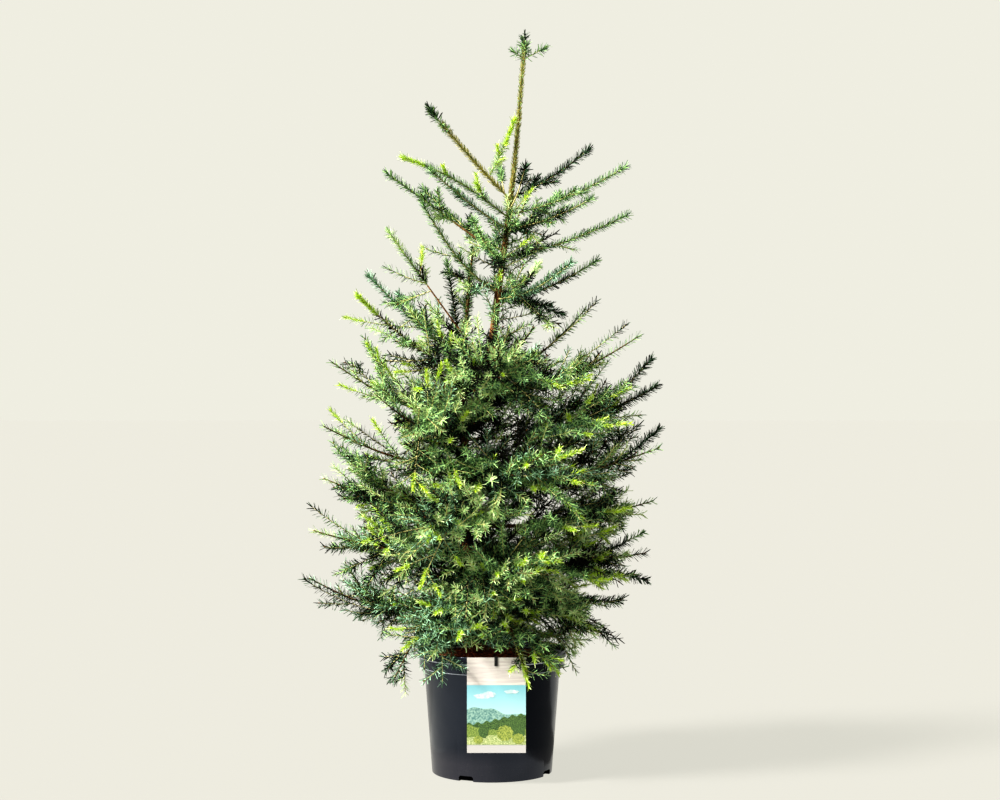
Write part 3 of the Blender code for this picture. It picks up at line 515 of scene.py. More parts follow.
# Open sky between the shoots as the front shows it: strips from one place to another (sideways, height), and
# their half width, at the depth of the trunk
FRONT_VIEW = Vector((0.015, -3.5, 0.70))
OPEN_STRIPS = table("""
-0.297 0.704 -0.197 0.674 0.019
-0.265 0.643 -0.182 0.617 0.013
-0.170 0.847 -0.144 0.829 0.015
-0.340 0.454 -0.306 0.443 0.015
-0.306 0.405 -0.246 0.398 0.011
-0.278 0.322 -0.250 0.311 0.013
-0.310 0.280 -0.227 0.243 0.021
-0.227 0.201 -0.212 0.152 0.017
-0.148 0.205 -0.142 0.152 0.009
0.181 0.205 0.280 0.205 0.028
0.257 0.299 0.298 0.277 0.025
0.264 0.341 0.317 0.330 0.019
0.283 0.420 0.308 0.394 0.015
0.295 0.477 0.317 0.469 0.011
0.145 0.806 0.185 0.844 0.011
0.212 0.791 0.249 0.804 0.011
0.215 0.740 0.261 0.768 0.013
0.200 0.296 0.251 0.269 0.011
0.100 0.791 0.121 0.764 0.009
0.074 0.819 0.100 0.802 0.009
-0.027 0.889 -0.015 0.855 0.013
0.068 0.802 0.128 0.791 0.009
0.094 0.885 0.121 0.870 0.015
-0.098 0.878 -0.027 0.855 0.009
0.015 0.878 0.075 0.866 0.009
-0.242 0.832 -0.166 0.823 0.011
0.062 0.908 0.128 0.917 0.009
-0.278 0.655 -0.189 0.640 0.013
-0.242 0.609 -0.165 0.594 0.011
-0.246 0.753 -0.227 0.719 0.011
-0.170 0.692 -0.151 0.674 0.011
-0.061 1.104 -0.034 1.078 0.009
-0.015 1.070 -0.000 1.055 0.008
0.024 1.104 0.072 1.097 0.008
-0.011 1.144 0.004 1.131 0.008
0.060 1.140 0.079 1.131 0.008
0.024 0.802 0.072 0.795 0.008
-0.166 0.961 -0.144 0.942 0.011
0.132 0.961 0.159 0.946 0.011
""")

# The length of lines, in metres, whose needles make one piece
PIECE_LENGTH = 105.0

# The turn from one needle or shoot to the next, as in most plants
GOLDEN_ANGLE = math.pi * (3.0 - math.sqrt(5.0))

# Bark: flakes by their length for their width, cracks and grain by shares of a flake, their depths by shares
# of the stem's radius, the thickest radius that counts, steps along a limb, swelling at a whorl, ribbed flare
FLAKE_STRETCH = 0.5
CRACK_SHARE = 0.35
GRAIN_SHARE = 0.35
CRACK_DEPTH = 0.075
GRAIN_DEPTH = 0.05
RELIEF_MOST = 0.010
TRUNK_SIDES = 26
SECOND_SIDES = 18
LIMB_SIDES = 8
LIMB_BARK_STEP = 0.005
COLLAR_WIDTH = 0.007
COLLAR_SWELL = 0.07
FLARE_HEIGHT = 0.022
FLARE_DEPTH = 0.0016

# The pot: thickness of its wall and floor, radii of foot, shoulder and band, heights of the lower edges of
# its two rim bands, which carry pale painted highlights, and half the outline, heading and number of the
# foot's notches
POT_WALL = 0.0020
POT_FLOOR = 0.0125
POT_FOOT = 0.1130
POT_SHOULDER = 0.1280
POT_BAND = 0.1370
POT_EDGES = (0.1985, 0.2175)
POT_ROUNDING = 0.0012
POT_SIDES = 128
NOTCH_OUTLINE = ((-0.0145, -0.01), (-0.0145, 0.007), (-0.0115, 0.010))
NOTCH_IN, NOTCH_OUT = -0.010, 0.007
NOTCH_HEADING = math.radians(-115)
NOTCHES = 4

# The compost: radius and height of the heap's shoulders, the sides of the surface that chips lie on and how
# far it lies under the heap's, and the bevel and warp of a chip by shares of its size
SHOULDERS = ((0.0520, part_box("soil")[1].z), (0.0950, 0.2190))
CHIP_SIDES = 24
CHIP_SINK = 0.002
CHIP_BEVEL = 0.16
CHIP_WARP = 0.08

# The label: heights of the strip at its foot and of its header, its hole, and the thickness of ink
STRIP_HEIGHT = 0.0145
HEADER_HEIGHT = 0.0500
HOLE_PLACE = (0.0080, 0.2245)
HOLE_RADIUS = 0.0023
INK = 0.00008


def spread(low, high, count):
    """Evenly spaced numbers from one to another, with both of them."""
    return [low + (high - low) * k / count for k in range(count + 1)]


def turns(count):
    """Evenly spaced angles round a circle."""
    return spread(0.0, math.tau, count)[:-1]


def level_way(angle, rise=0.0):
    """The direction of a heading, with its rise."""
    return Vector((math.cos(angle), math.sin(angle), rise))


# Colours and sizes that a user can change


def linear(code):
    """An sRGB hex colour as linear red, green and blue."""
    parts = [int(code[k:k + 2], 16) / 255.0 for k in (1, 3, 5)]
    return tuple(p / 12.92 if p <= 0.04045 else ((p + 0.055) / 1.055) ** 2.4 for p in parts)


def colour_property(label, description, code):
    """A colour that a user can change."""
    return FloatVectorProperty(
        name=label, description=description, subtype="COLOR", size=3, min=0.0, max=1.0, default=linear(code)
    )


def length_property(label, description, value):
    """A length that a user can change, in metres."""
    settings = {"min": 0.0, "precision": 4, "unit": "LENGTH"}
    return FloatProperty(name=label, description=description, default=value, **settings)


def count_property(label, description, value, low, high):
    """A whole number that a user can change."""
    return IntProperty(name=label, description=description, default=value, min=low, max=high)


def strength_property(label, description, value):
    """The strength of a light that a user can change."""
    return FloatProperty(name=label, description=description, default=value, min=0.0, max=50.0)


class SpruceColours(bpy.types.PropertyGroup):
    """The colours of the plant and its pot."""

    # The shaded needles are painted shade: near black, dealt to the crown's inside and to the side away from
    # the key light
    shade: colour_property("Shaded needles", "Old needles deep in the crown", "#0E130C")
    # Dark needles are old needles, and also the darker second tone mixed into blue and green shoots as
    # painted shade
    dark: colour_property("Dark needles", "Old needles seen from above", "#476749")
    blue: colour_property("Blue needles", "Needles that show their waxy bands", "#A9D2B2")
    mid: colour_property("Green needles", "Last year's needles", "#A2C886")
    # The light needles are partly the pale ends of last year's shoots and partly painted highlight, dealt
    # more to the lit side
    light: colour_property("Light needles", "The ends of last year's shoots", "#D0DEA8")
    fresh: colour_property("Fresh needles", "The soft new shoots of spring", "#C6E548")
    leader: colour_property("Leader needles", "The short needles pressed to the leader", "#B5B06A")
    young_wood: colour_property("Young twigs", "Bark of this and last year's twigs", "#D8CD92")
    old_wood: colour_property("Old twigs", "Bark of the inner twigs", "#6B5136")
    # Shaded twigs are painted shade: darker bark for the twigs that carry the shaded needles
    shaded_wood: colour_property("Shaded twigs", "Bark of the twigs deep in the crown", "#2E241A")
    bark: colour_property("Bark", "Raised flakes of the trunk's bark", "#A5764B")
    bark_deep: colour_property("Bark cracks", "Between the flakes of the trunk's bark", "#52351F")
    pot: colour_property("Pot", "The moulded plastic of the pot", "#08090E")
    compost: colour_property("Compost", "Fresh chips of bark compost", "#D9805A")
    compost_deep: colour_property("Wet compost", "The damp fines between the chips", "#5A3022")
    card: colour_property("Card", "The card of the label", "#BDBBBA")
    backdrop: colour_property("Backdrop", "The pale studio paper", "#CECDC4")


class SpruceSizes(bpy.types.PropertyGroup):
    """The sizes that the foliage, bark and compost are made with."""

    needle_length: length_property("Needle length", "Length of a full-grown needle", 0.0150)
    needle_width: length_property("Needle width", "Width of a needle at its foot", 0.0017)
    needle_spacing: length_property("Needle spacing", "Distance between needles of one tone", 0.00250)
    twig_sides: count_property("Twig sides", "Flat sides round a twig", 3, 3, 8)
    twigs_per_pair: count_property("Twigs per pair", "Pairs of twigs for each pair in the solids", 2, 1, 4)
    bark_step: length_property("Bark detail", "Distance between rows of points on the bark", 0.0024)
    flake_size: length_property("Bark flake", "Width of one flake of bark", 0.0045)
    chip_size: length_property("Chip size", "Length of a chip of bark compost", 0.0150)
    chip_count: count_property("Chips", "Chips that lie on the compost", 1100, 0, 4000)


class SpruceStage(bpy.types.PropertyGroup):
    """The camera and lights."""

    camera_distance: length_property("Camera distance", "From the camera to the pot's axis", 3.5)
    camera_height: length_property("Camera height", "Height of the camera over the floor", 0.70)
    camera_side: length_property("Camera side", "Sideways place of the camera", 0.015)
    lens: FloatProperty(
        name="Lens", description="Focal length on a 36 mm sensor", default=66.67, min=10.0, max=300.0
    )
    key: strength_property("Key light", "Strength of the key light", 7.0)
    ambient: strength_property("Ambient", "Strength of the light from all round", 1.0)
    overhead: strength_property("Overhead", "Strength of the light from overhead", 0.3)
    left_side: strength_property("Left side", "How much brighter the room is on the left", 1.9)
    reflector: strength_property("Reflector", "Strength of the card that the pot's left side mirrors", 1.25)
    right_side: strength_property("Right side", "How much brighter the room is on the right", 0.95)


# Meshes, nodes and pieces


def add_node(tree, kind, inputs=None, **settings):
    """Add a node with its settings, and give each input a value or a link from another node."""
    node = tree.nodes.new(kind)
    for name, value in settings.items():
        setattr(node, name, value)
    for name, value in (inputs or {}).items():
        socket = node.inputs[name]
        if isinstance(value, bpy.types.NodeSocket):
            tree.links.new(value, socket)
        else:
            socket.default_value = value
    return node


def new_material(name, colour, roughness, **values):
    """A material with a plain base colour and roughness, its node tree and its shader."""
    material = bpy.data.materials.new(name)
    material.use_nodes = True
    tree = material.node_tree
    shader = tree.nodes["Principled BSDF"]
    shader.inputs["Base Color"].default_value = (*colour, 1.0)
    shader.inputs["Roughness"].default_value = roughness
    for socket, value in values.items():
        shader.inputs[socket.replace("_", " ")].default_value = value
    return material, tree, shader


def glowing_material(name, base, roughness, glow, strength):
    """A surface without gloss that gives an even light of its own, like paper or card under a lamp."""
    glow = (*glow, 1.0)
    values = {"Specular_IOR_Level": 0.0, "Emission_Color": glow, "Emission_Strength": strength}
    return new_material(name, base, roughness, **values)[0]


def new_mesh_object(name, points, faces, material=None, smooth=True, edges=()):
    """A mesh object at the origin."""
    mesh = bpy.data.meshes.new(name)
    mesh.from_pydata([tuple(p) for p in points], edges, faces)
    mesh.validate()
    if material:
        mesh.materials.append(material)
    if smooth and faces:
        mesh.shade_smooth()
    obj = bpy.data.objects.new(name, mesh)
    bpy.context.scene.collection.objects.link(obj)
    return obj


def turn_outwards(obj):
    """Turn a closed mesh's faces outwards."""
    work = bmesh.new()
    work.from_mesh(obj.data)
    bmesh.ops.recalc_face_normals(work, faces=work.faces)
    work.to_mesh(obj.data)
    work.free()


def settle(obj):
    """Apply an object's modifiers, so that it is a plain mesh."""
    bpy.context.view_layer.update()
    graph = bpy.context.evaluated_depsgraph_get()
    result = bpy.data.meshes.new_from_object(obj.evaluated_get(graph))
    old = obj.data
    for step in list(obj.modifiers):
        obj.modifiers.remove(step)
    obj.data = result
    result.name = obj.name
    bpy.data.meshes.remove(old)
    return obj


def grown(obj, tree, values):
    """Run a node tree on an object with these inputs, and keep the result as a plain mesh."""
    step = obj.modifiers.new("grow", "NODES")
    step.node_group = tree
    for item in tree.interface.items_tree:
        if item.item_type == "SOCKET" and item.in_out == "INPUT" and item.name in values:
            step[item.identifier] = values[item.name]
    return settle(obj)


def new_tree(name, **sockets):
    """A geometry node tree with named inputs of these kinds, and the outputs of its input node."""
    tree = bpy.data.node_groups.new(name, "GeometryNodeTree")
    tree.interface.new_socket("Geometry", in_out="INPUT", socket_type="NodeSocketGeometry")
    for label, kind in sockets.items():
        tree.interface.new_socket(label, in_out="INPUT", socket_type="NodeSocket" + kind)
    tree.interface.new_socket("Geometry", in_out="OUTPUT", socket_type="NodeSocketGeometry")
    return tree, add_node(tree, "NodeGroupInput").outputs


def end_tree(tree, geometry, material):
    """Realize the instances, set the material and lead the result out."""
    real = add_node(tree, "GeometryNodeRealizeInstances", {"Geometry": geometry}).outputs["Geometry"]
    done = add_node(tree, "GeometryNodeSetMaterial", {"Geometry": real, "Material": material})
    add_node(tree, "NodeGroupOutput", {"Geometry": done.outputs["Geometry"]})
    return tree


def place_copies(tree, points, shape, rotation, scale, material):
    """Place a copy of a shape on every point and lead the result out."""
    shape = add_node(tree, "GeometryNodeObjectInfo", {"Object": shape}).outputs["Geometry"]
    values = {"Points": points, "Instance": shape, "Rotation": rotation, "Scale": scale}
    placed = add_node(tree, "GeometryNodeInstanceOnPoints", values)
    return end_tree(tree, placed.outputs["Instances"], material)


def join_piece(obj, slot, *nodes):
    """Let a finished piece ride on the plant's body and stand for its nodes; the slot is not used."""
    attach(obj, BODY)
    if nodes:
        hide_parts(*nodes)
    return obj


def closed_piece(name, points, faces, material, slot, *nodes):
    """A finished piece from the points and faces of a closed mesh."""
    obj = new_mesh_object(name, points, faces, material)
    turn_outwards(obj)
    return join_piece(obj, slot, *nodes)


def cut(obj, cutters):
    """Cut closed meshes out of an object and remove them."""
    for cutter in cutters:
        turn_outwards(cutter)
        step = obj.modifiers.new("cut", "BOOLEAN")
        step.operation = "DIFFERENCE"
        step.object = cutter
        step.solver = "EXACT"
        step.material_mode = "TRANSFER" if cutter.data.materials else "INDEX"
        settle(obj)
        bpy.data.objects.remove(cutter, do_unlink=True)


# The plant's lines: stems and limbs, by the same rule as its solids


def stem_at(stations, height):
    """The axis point and radius of a stem at a height, on a smooth curve through its stations."""
    count = len(stations)
    height = min(max(height, stations[0][0]), stations[-1][0])
    index = 0
    while index < count - 2 and stations[index + 1][0] < height:
        index += 1
    low, high = stations[index], stations[index + 1]
    span = high[0] - low[0]
    share = (height - low[0]) / span

    def slope(at, column):
        before, after = stations[max(at - 1, 0)], stations[min(at + 1, count - 1)]
        return (after[column] - before[column]) / (after[0] - before[0])

    def curve(column):
        start = (1 + 2 * share) * (1 - share) ** 2 * low[column]
        end = share ** 2 * (3 - 2 * share) * high[column]
        leave = share * (1 - share) ** 2 * span * slope(index, column)
        arrive = share ** 2 * (share - 1) * span * slope(index + 1, column)
        return start + end + leave + arrive

    radius = low[3] + (high[3] - low[3]) * share
    return Vector((curve(1), curve(2), height)), radius


def trunk_axis(height):
    """The middle of the trunk at a height."""
    return stem_at(TRUNK_STATIONS, height)[0]


def limb_base(limb):
    """The point on its parent's axis that a limb starts from, and the parent's radius there."""
    if limb.stem == "trunk":
        return stem_at(TRUNK_STATIONS, limb.height)
    if limb.stem == "second":
        return stem_at(SECOND_STATIONS, limb.height)
    parent = LIMB_BY_NAME[limb.stem]
    return limb_point(parent, limb.height), limb_radius(parent, limb.height)


def limb_point(limb, share):
    """The point a share of the way along a limb's axis."""
    base, _ = limb_base(limb)
    heading = math.radians(limb.heading)
    out = limb.reach * share
    lift = limb.rise * share - limb.sag * math.sin(math.pi * share)
    return base + Vector((out * math.cos(heading), out * math.sin(heading), lift))


def limb_radius(limb, share):
    """The radius of a limb a share of the way along it."""
    _, stem_radius = limb_base(limb)
    base = min(stem_radius * LIMB_BASE_SHARE, LIMB_BASE_MOST)
    return base + (min(LIMB_TIP_RADIUS, base) - base) * share


def limb_frame(limb, share):
    """The direction of a limb, and the two directions across it, at a share of its length."""
    ahead = limb_point(limb, min(share + FRAME_STEP, 1.0))
    behind = limb_point(limb, max(share - FRAME_STEP, 0.0))
    along = (ahead - behind).normalized()
    heading = math.radians(limb.heading)
    across = Vector((-math.sin(heading), math.cos(heading), 0.0))
    return along, across, across.cross(along).normalized() * -1.0


def limb_length(limb):
    """The length of a limb's axis."""
    points = [limb_point(limb, share) for share in spread(0.0, 1.0, AXIS_STEPS)]
    return sum((b - a).length for a, b in zip(points, points[1:]))


class Space:
    """Which limb's axis is nearest to a point, and how near the stems and the pot are."""

    def __init__(self):
        starts, ends, owners = [], [], []
        for index, limb in enumerate(LIMBS):
            points = [limb_point(limb, share) for share in spread(0.0, 1.0, AXIS_STEPS)]
            starts += points[:-1]
            ends += points[1:]
            owners += [index] * AXIS_STEPS
        self.start = np.array([tuple(p) for p in starts])
        self.step = np.array([tuple(p) for p in ends]) - self.start
        self.square = (self.step ** 2).sum(axis=1)
        self.owner = np.array(owners)
        self.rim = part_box("pot")[1].z
        self.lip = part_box("pot")[1].x
        self.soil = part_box("soil")[1].z
        low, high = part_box("label")
        self.label = (low.x - POT_CLEAR, high.x + POT_CLEAR, low.y - POT_CLEAR, high.z + POT_CLEAR)

    def clear_of_solids(self, point):
        """Whether a point is inside the plant's box and clear of the floor, compost, pot, label and stems."""
        sides = zip(CAD_BOX[0], point, CAD_BOX[1])
        if not all(low + BOX_MARGIN < value < high - BOX_MARGIN for low, value, high in sides):
            return False
        if point.z < GROUND_CLEAR:
            return False
        if point.z < self.rim + POT_CLEAR:
            out = math.hypot(point.x, point.y)
            close = out > self.lip - 2 * POT_CLEAR or point.z < self.soil + POT_CLEAR
            if close and out < self.lip + POT_CLEAR:
                return False
        left, right, front, top = self.label
        if left < point.x < right and point.z < top and front < point.y < 0.0 and point.y < -self.lip / 2:
            return False
        for stations in (TRUNK_STATIONS, SECOND_STATIONS):
            if stations[0][0] < point.z < stations[-1][0]:
                centre, radius = stem_at(stations, point.z)
                if (point - centre).length < radius + STEM_CLEAR:
                    return False
        return True

    def closes_sky(self, point):
        """Whether a point would close one of the strips of open sky, seen from the front."""
        near = FRONT_VIEW + (point - FRONT_VIEW) * (FRONT_VIEW.y / (FRONT_VIEW.y - point.y))
        for left, low, right, high, half in OPEN_STRIPS:
            run = Vector((right - left, high - low))
            away = Vector((near.x - left, near.z - low))
            share = min(1.0, max(0.0, away.dot(run) / run.length_squared))
            if (away - run * share).length < half:
                return True
        return False

    def is_open(self, point):
        """Whether a point is clear of the solids and outside the strips of open sky."""
        return self.clear_of_solids(point) and not self.closes_sky(point)

    def keeps(self, index, points):
        """Whether all these points lie in the space of one limb and clear of the solids."""
        if any(self.closes_sky(point) for point in points):
            return False
        for point in points:
            away = np.array(tuple(point)) - self.start
            share = np.clip((away * self.step).sum(axis=1) / self.square, 0.0, 1.0)
            distance = ((away - self.step * share[:, None]) ** 2).sum(axis=1)
            own = math.sqrt(distance[self.owner == index].min())
            other = math.sqrt(distance[self.owner != index].min())
            if own > other or not self.clear_of_solids(point):
                return False
        return True


class Lines:
    """Lines that a node tree dresses: points, and at each its way on, a size and how far needles open."""

    def __init__(self):
        self.points = []
        self.onward = []
        self.size = []
        self.open = []
        self.edges = []
        self.length = 0.0

    def add(self, points, sizes, opens=None):
        """Add one line of points."""
        first = len(self.points)
        for k, point in enumerate(points):
            ahead = points[min(k + 1, len(points) - 1)] - points[max(k - 1, 0)]
            self.points.append(tuple(point))
            self.onward.append(tuple(ahead.normalized()))
            self.size.append(sizes[k])
            self.open.append(opens[k] if opens else 1.0)
        self.edges += [(first + k, first + k + 1) for k in range(len(points) - 1)]
        self.length += sum((b - a).length for a, b in zip(points, points[1:]))

    def as_object(self, name):
        """A mesh object of the lines, with their run and size as attributes."""
        obj = new_mesh_object(name, self.points, [], edges=self.edges)
        mesh = obj.data
        run = mesh.attributes.new("onward", "FLOAT_VECTOR", "POINT")
        run.data.foreach_set("vector", np.array(self.onward, np.float32).ravel())
        for name, values in (("size", self.size), ("open", self.open)):
            attribute = mesh.attributes.new(name, "FLOAT", "POINT")
            attribute.data.foreach_set("value", np.array(values, np.float32))
        return obj


Shoot = namedtuple("Shoot", "foot ahead length turn_up")


def shoot_point(shoot, share):
    """A point a share of the way along a twig, whose end turns up or down."""
    lift = shoot.turn_up * shoot.length * share * share
    return shoot.foot + shoot.ahead * (shoot.length * share) + UP * lift


def reaching(name, share, tip, arch):
    """A shoot from a place on a limb to a tip, arched over the straight line or sagging under it."""
    foot = limb_point(LIMB_BY_NAME[name], share)
    reach = Vector(tip) - foot
    return Shoot(foot, reach.normalized() + UP * arch, reach.length, -arch)


class Foliage:
    """Every twig of the crown, dealt out to kinds of wood, needles and buds."""

    def __init__(self, twigs_per_pair):
        self.twigs_per_pair = twigs_per_pair
        self.space = Space()
        self.needles = {kind: [Lines()] for kind in NEEDLE_KINDS}
        self.wood = {kind: Lines() for kind in ("young", "old", "shaded")}
        self.buds = Lines()
        for index, limb in enumerate(LIMBS):
            self.grow_limb(index, limb)
        for stations, low, high in STEM_SHOOTS:
            self.grow_on_stem(stations, low, high)
        self.grow_skirt()
        self.grow_arches()
        self.grow_tips()
        self.dress_stems()
        self.grow_sprigs()

    def clothe(self, place, low, high, kind, steps, sizes=(1.0, 1.0), opens=(1.0, 1.0)):
        """Needles of one kind and its second on part of a line, with their size and opening at its ends."""
        points = [place(low + (high - low) * part) for part in spread(0.0, 1.0, steps)]
        for tone in (kind, NEEDLE_KINDS[kind].second):
            if tone not in self.needles:
                continue
            if self.needles[tone][-1].length > PIECE_LENGTH:
                self.needles[tone].append(Lines())
            self.needles[tone][-1].add(points, self.graded(sizes, steps), self.graded(opens, steps))

    @staticmethod
    def graded(ends, steps):
        """A value at each step of a line, from its value at one end to that at the other."""
        return [ends[0] + (ends[1] - ends[0]) * part for part in spread(0.0, 1.0, steps)]

    def grow_limb(self, index, limb):
        """A limb's axis, its side twigs and their finer twigs."""
        rng = random.Random(SEED + SEED_STEP * index)
        length = limb_length(limb)
        end = 1.0 - min(0.5, NEEDLE_TIP / length)
        habit = HABITS.get(limb.name, PLAIN_HABIT)
        kinds = habit.tones or self.deal(rng, limb, 0.5)
        wood = "young" if limb.stem != "trunk" or limb.height > YOUNG_LIMBS else "old"
        self.dress_limb(limb, length, end, wood, kinds)
        if limb.name == "leader":
            return
        factor = next(share for twig, share in PAIR_SHARES if limb.twig >= twig)
        pairs = round(limb.pairs * self.twigs_per_pair * (factor * habit.pairs))
        first = max(limb.bare + BARE_FOOT, FIRST_TWIG)
        last = 1.0 - min(0.3, LAST_TWIG / length)
        for pair in range(pairs):
            for side in (-1, 1):
                along = (pair + 0.5 + PAIR_OFFSET * side) / pairs
                tilt = FAN_TILTS[(2 * pair + (side > 0) + index) % len(FAN_TILTS)]
                self.grow_side(index, limb, along, side, tilt, first, last, rng)

    def dress_limb(self, limb, length, end, wood, kinds):
        """Twig wood, needles and an end bud on a limb's own line."""
        base_kind, tip_kind = kinds
        axis = partial(limb_point, limb)
        start = (limb.bare or (OLD_WOOD_START if wood == "old" else 0.0)) * WOOD_OVERLAP
        shares = spread(start, end, 10)
        self.wood[wood].add([axis(share) for share in shares], [limb_radius(limb, share) for share in shares])
        brush = limb.twig < THIN_TWIG or wood == "young"
        clad = limb.bare + CLAD_AFTER_BARE if limb.bare else (CLAD_BRUSH if brush else CLAD_PLAIN)
        # Near-black shaded needles on a plain limb's foot are painted shade inside the crown
        if limb.bare < LONG_BARE and not brush:
            self.clothe(axis, 0.03, clad, "shade", 3, (0.8, 0.9))
        turn = 1.0 - min(0.5, LIMB_END_LENGTH / length)
        sizes = (BRUSH_SIZE, BRUSH_SIZE) if brush else (1.0, 1.0)
        for _ in range(BRUSH_LAYERS if brush else 1):
            if base_kind != "bare":
                self.clothe(axis, clad, turn, base_kind, 6, sizes, (0.9, 0.9) if brush else (1.0, 1.0))
            self.clothe(axis, turn, end, tip_kind, 4, sizes, (1.0, 0.8 if brush else 0.6))
        if brush and limb.name != "leader":
            self.tuft(axis(end), limb_frame(limb, end)[0], tip_kind)
        self.end_bud(axis, end)

    def grow_side(self, index, limb, along, side, lean, first, last, rng):
        """One side twig and the finer twigs on it, shortened until it fits its space."""
        at = first + (last - first) * along ** PLACE_POWER + rng.uniform(-PLACE_JITTER, PLACE_JITTER)
        ahead, across, over = limb_frame(limb, at)
        angle = FAN_NEAR_ANGLE + (FAN_FAR_ANGLE - FAN_NEAR_ANGLE) * along
        swell = math.sin(math.pi * min(TWIG_SWELL_END, along + TWIG_SWELL_SHIFT))
        close = 1.0 - TWIG_CLOSE_SHARE * max(0.0, along - TWIG_CLOSE)
        habit = HABITS.get(limb.name, PLAIN_HABIT)
        full = limb.twig * (TWIG_LEAST + TWIG_SWELL * swell) * close * habit.twig - 0.5 * NEEDLE_TIP
        lean *= 1.0 + (habit.tilt - 1.0) * min(1.0, along / TILT_FADES if habit.tilt > 1.0 else along)
        full *= rng.uniform(1.0 - LENGTH_JITTER, 1.0 + LENGTH_JITTER)
        roll = rng.choice((-1, 1)) * rng.uniform(FAN_ROLL_LOW, FAN_ROLL_HIGH)
        base_kind, tip_kind = habit.tones or self.deal(rng, limb, along)
        if limb.rise < DROOP_RISE and math.cos(math.radians(limb.heading)) > DROOP_SIDE:
            turn_up = rng.uniform(*DROOP_TURN)
        else:
            turn_up = rng.uniform(RISE_TURN[0], RISE_TURN[1] + RISE_TURN[2] * along)
        for attempt in range(TRIES):
            tilt = lean + rng.uniform(-FAN_TILT_JITTER, FAN_TILT_JITTER)
            outward = across * (side * math.cos(tilt)) + over * math.sin(tilt)
            direction = (ahead * math.cos(angle) + outward * math.sin(angle)).normalized()
            shoot = Shoot(limb_point(limb, at), direction, full * TRY_SHRINK ** attempt, turn_up)
            if self.space.keeps(index, [shoot_point(shoot, share) for share in SIDE_TESTS]):
                break
        else:
            return
        plane = ahead.cross(outward).normalized()
        wide = plane.cross(direction).normalized()
        wide = (wide * math.cos(roll) + direction.cross(wide) * math.sin(roll)).normalized()
        for _ in range(2 if limb.twig < THIN_TWIG else 1):
            self.dress_shoot(shoot, base_kind, tip_kind, SIDE_RADIUS, rng)
        count = int(shoot.length * (FINE_LAST - FINE_FIRST) / FINE_SPACING) if at < FINE_OUTERMOST else 0
        for k in range(count):
            share = FINE_FIRST + (FINE_LAST - FINE_FIRST) * (k + rng.uniform(0.3, 0.7)) / count
            self.grow_fine(index, shoot, share, wide * (1 if k % 2 else -1), base_kind, tip_kind, rng)

    def grow_fine(self, index, parent, share, wide, base_kind, tip_kind, rng):
        """A finer twig on a side twig, if it fits."""
        length = min(FINE_MOST, parent.length * (FINE_LENGTH - FINE_TAPER * share))
        length *= rng.uniform(*FINE_LENGTH_RANGE)
        if length < FINE_LEAST:
            return
        angle = FINE_ANGLE * rng.uniform(*FINE_ANGLE_RANGE)
        lean = parent.ahead.cross(wide) * rng.uniform(-FINE_LEAN, FINE_LEAN)
        outward = (wide + lean).normalized()
        direction = (parent.ahead * math.cos(angle) + outward * math.sin(angle)).normalized()
        shoot = Shoot(shoot_point(parent, share), direction, length, rng.uniform(*FINE_TURN))
        if self.space.keeps(index, [shoot_point(shoot, FINE_TEST)]):
            self.dress_shoot(shoot, base_kind, tip_kind, FINE_RADIUS, rng)

    def dress_shoot(self, shoot, base_kind, tip_kind, radius, rng):
        """Wood, needles and an end bud for one twig."""
        place = partial(shoot_point, shoot)
        steps = max(2, round(shoot.length / TWIG_STEP))
        shares = spread(0.0, 1.0, steps)
        # Twigs with shaded needles take the darker shaded bark, painted shade
        wood = "shaded" if base_kind == "shade" else "young"
        sizes = [radius * (1.0 - TWIG_TAPER * share) for share in shares]
        self.wood[wood].add([place(share) for share in shares], sizes)
        fresh = tip_kind == "fresh"
        end_length = FRESH_LENGTH + FRESH_SHARE * shoot.length if fresh else TIP_LENGTH
        tip = max(0.0, 1.0 - end_length / shoot.length)
        if tip > LEAST_BASE and base_kind != "bare":
            self.clothe(place, NEEDLES_FROM, tip, base_kind, max(2, round(steps * tip)), (0.9, 1.0))
        self.clothe(place, tip, 1.0, tip_kind, 2, (1.0, 0.9), (1.0, 0.60))
        if not fresh and rng.random() < BUD_SHARE:
            self.end_bud(place, 1.0)

    def grow_on_stem(self, stations, low, high):
        """Shoots that stand on a stem itself, in a spiral, between the limbs."""
        rng = random.Random(SEED + round(100 * low))
        count = round((high - low) / STEM_SHOOT_SPACING)
        for k in range(count):
            height = low + (high - low) * (k + rng.uniform(0.2, 0.8)) / count
            centre, radius = stem_at(stations, height)
            out = level_way(GOLDEN_ANGLE * k + low)
            angle = STEM_SHOOT_ANGLE * rng.uniform(0.75, 1.25)
            ahead = (UP * math.cos(angle) + out * math.sin(angle)).normalized()
            if BARE_STEM[0] < height < BARE_STEM[1] and k % 4 or height > THIN_STEM and k % 2:
                continue
            room = 1.0 - SHORTER_BY * min(1.0, max(0.0, (height - SHORTER_FROM) / SHORTER_OVER))
            length = STEM_SHOOT_LENGTH * rng.uniform(0.5, 1.3) * room
            shoot = Shoot(centre + out * radius * IN_BARK, ahead, length, rng.uniform(0.0, 0.3))
            if self.space.is_open(shoot_point(shoot, 1.0)):
                # Below the young limbs most of these shoots take the near-black shaded needles, painted shade
                # in the crown's core
                kinds = ("shade", "shade", "dark", "mid") if height < YOUNG_LIMBS else ("dark", "mid", "blue")
                kind = rng.choice(kinds)
                tip_kind = rng.choice((kind, kind, "mid", "light"))
                self.dress_spray(shoot, kind, tip_kind, STEM_SHOOT_SHARES, rng)

    def grow_arches(self):
        """The long sprays that stand out low on the crown and over the pot's rim."""
        rng = random.Random(SEED + 2)
        for name, share, *tip, arch, base_kind, tip_kind in ARCHES:
            self.dress_spray(reaching(name, share, tip, arch), base_kind, tip_kind, ARCH_SHARES, rng)

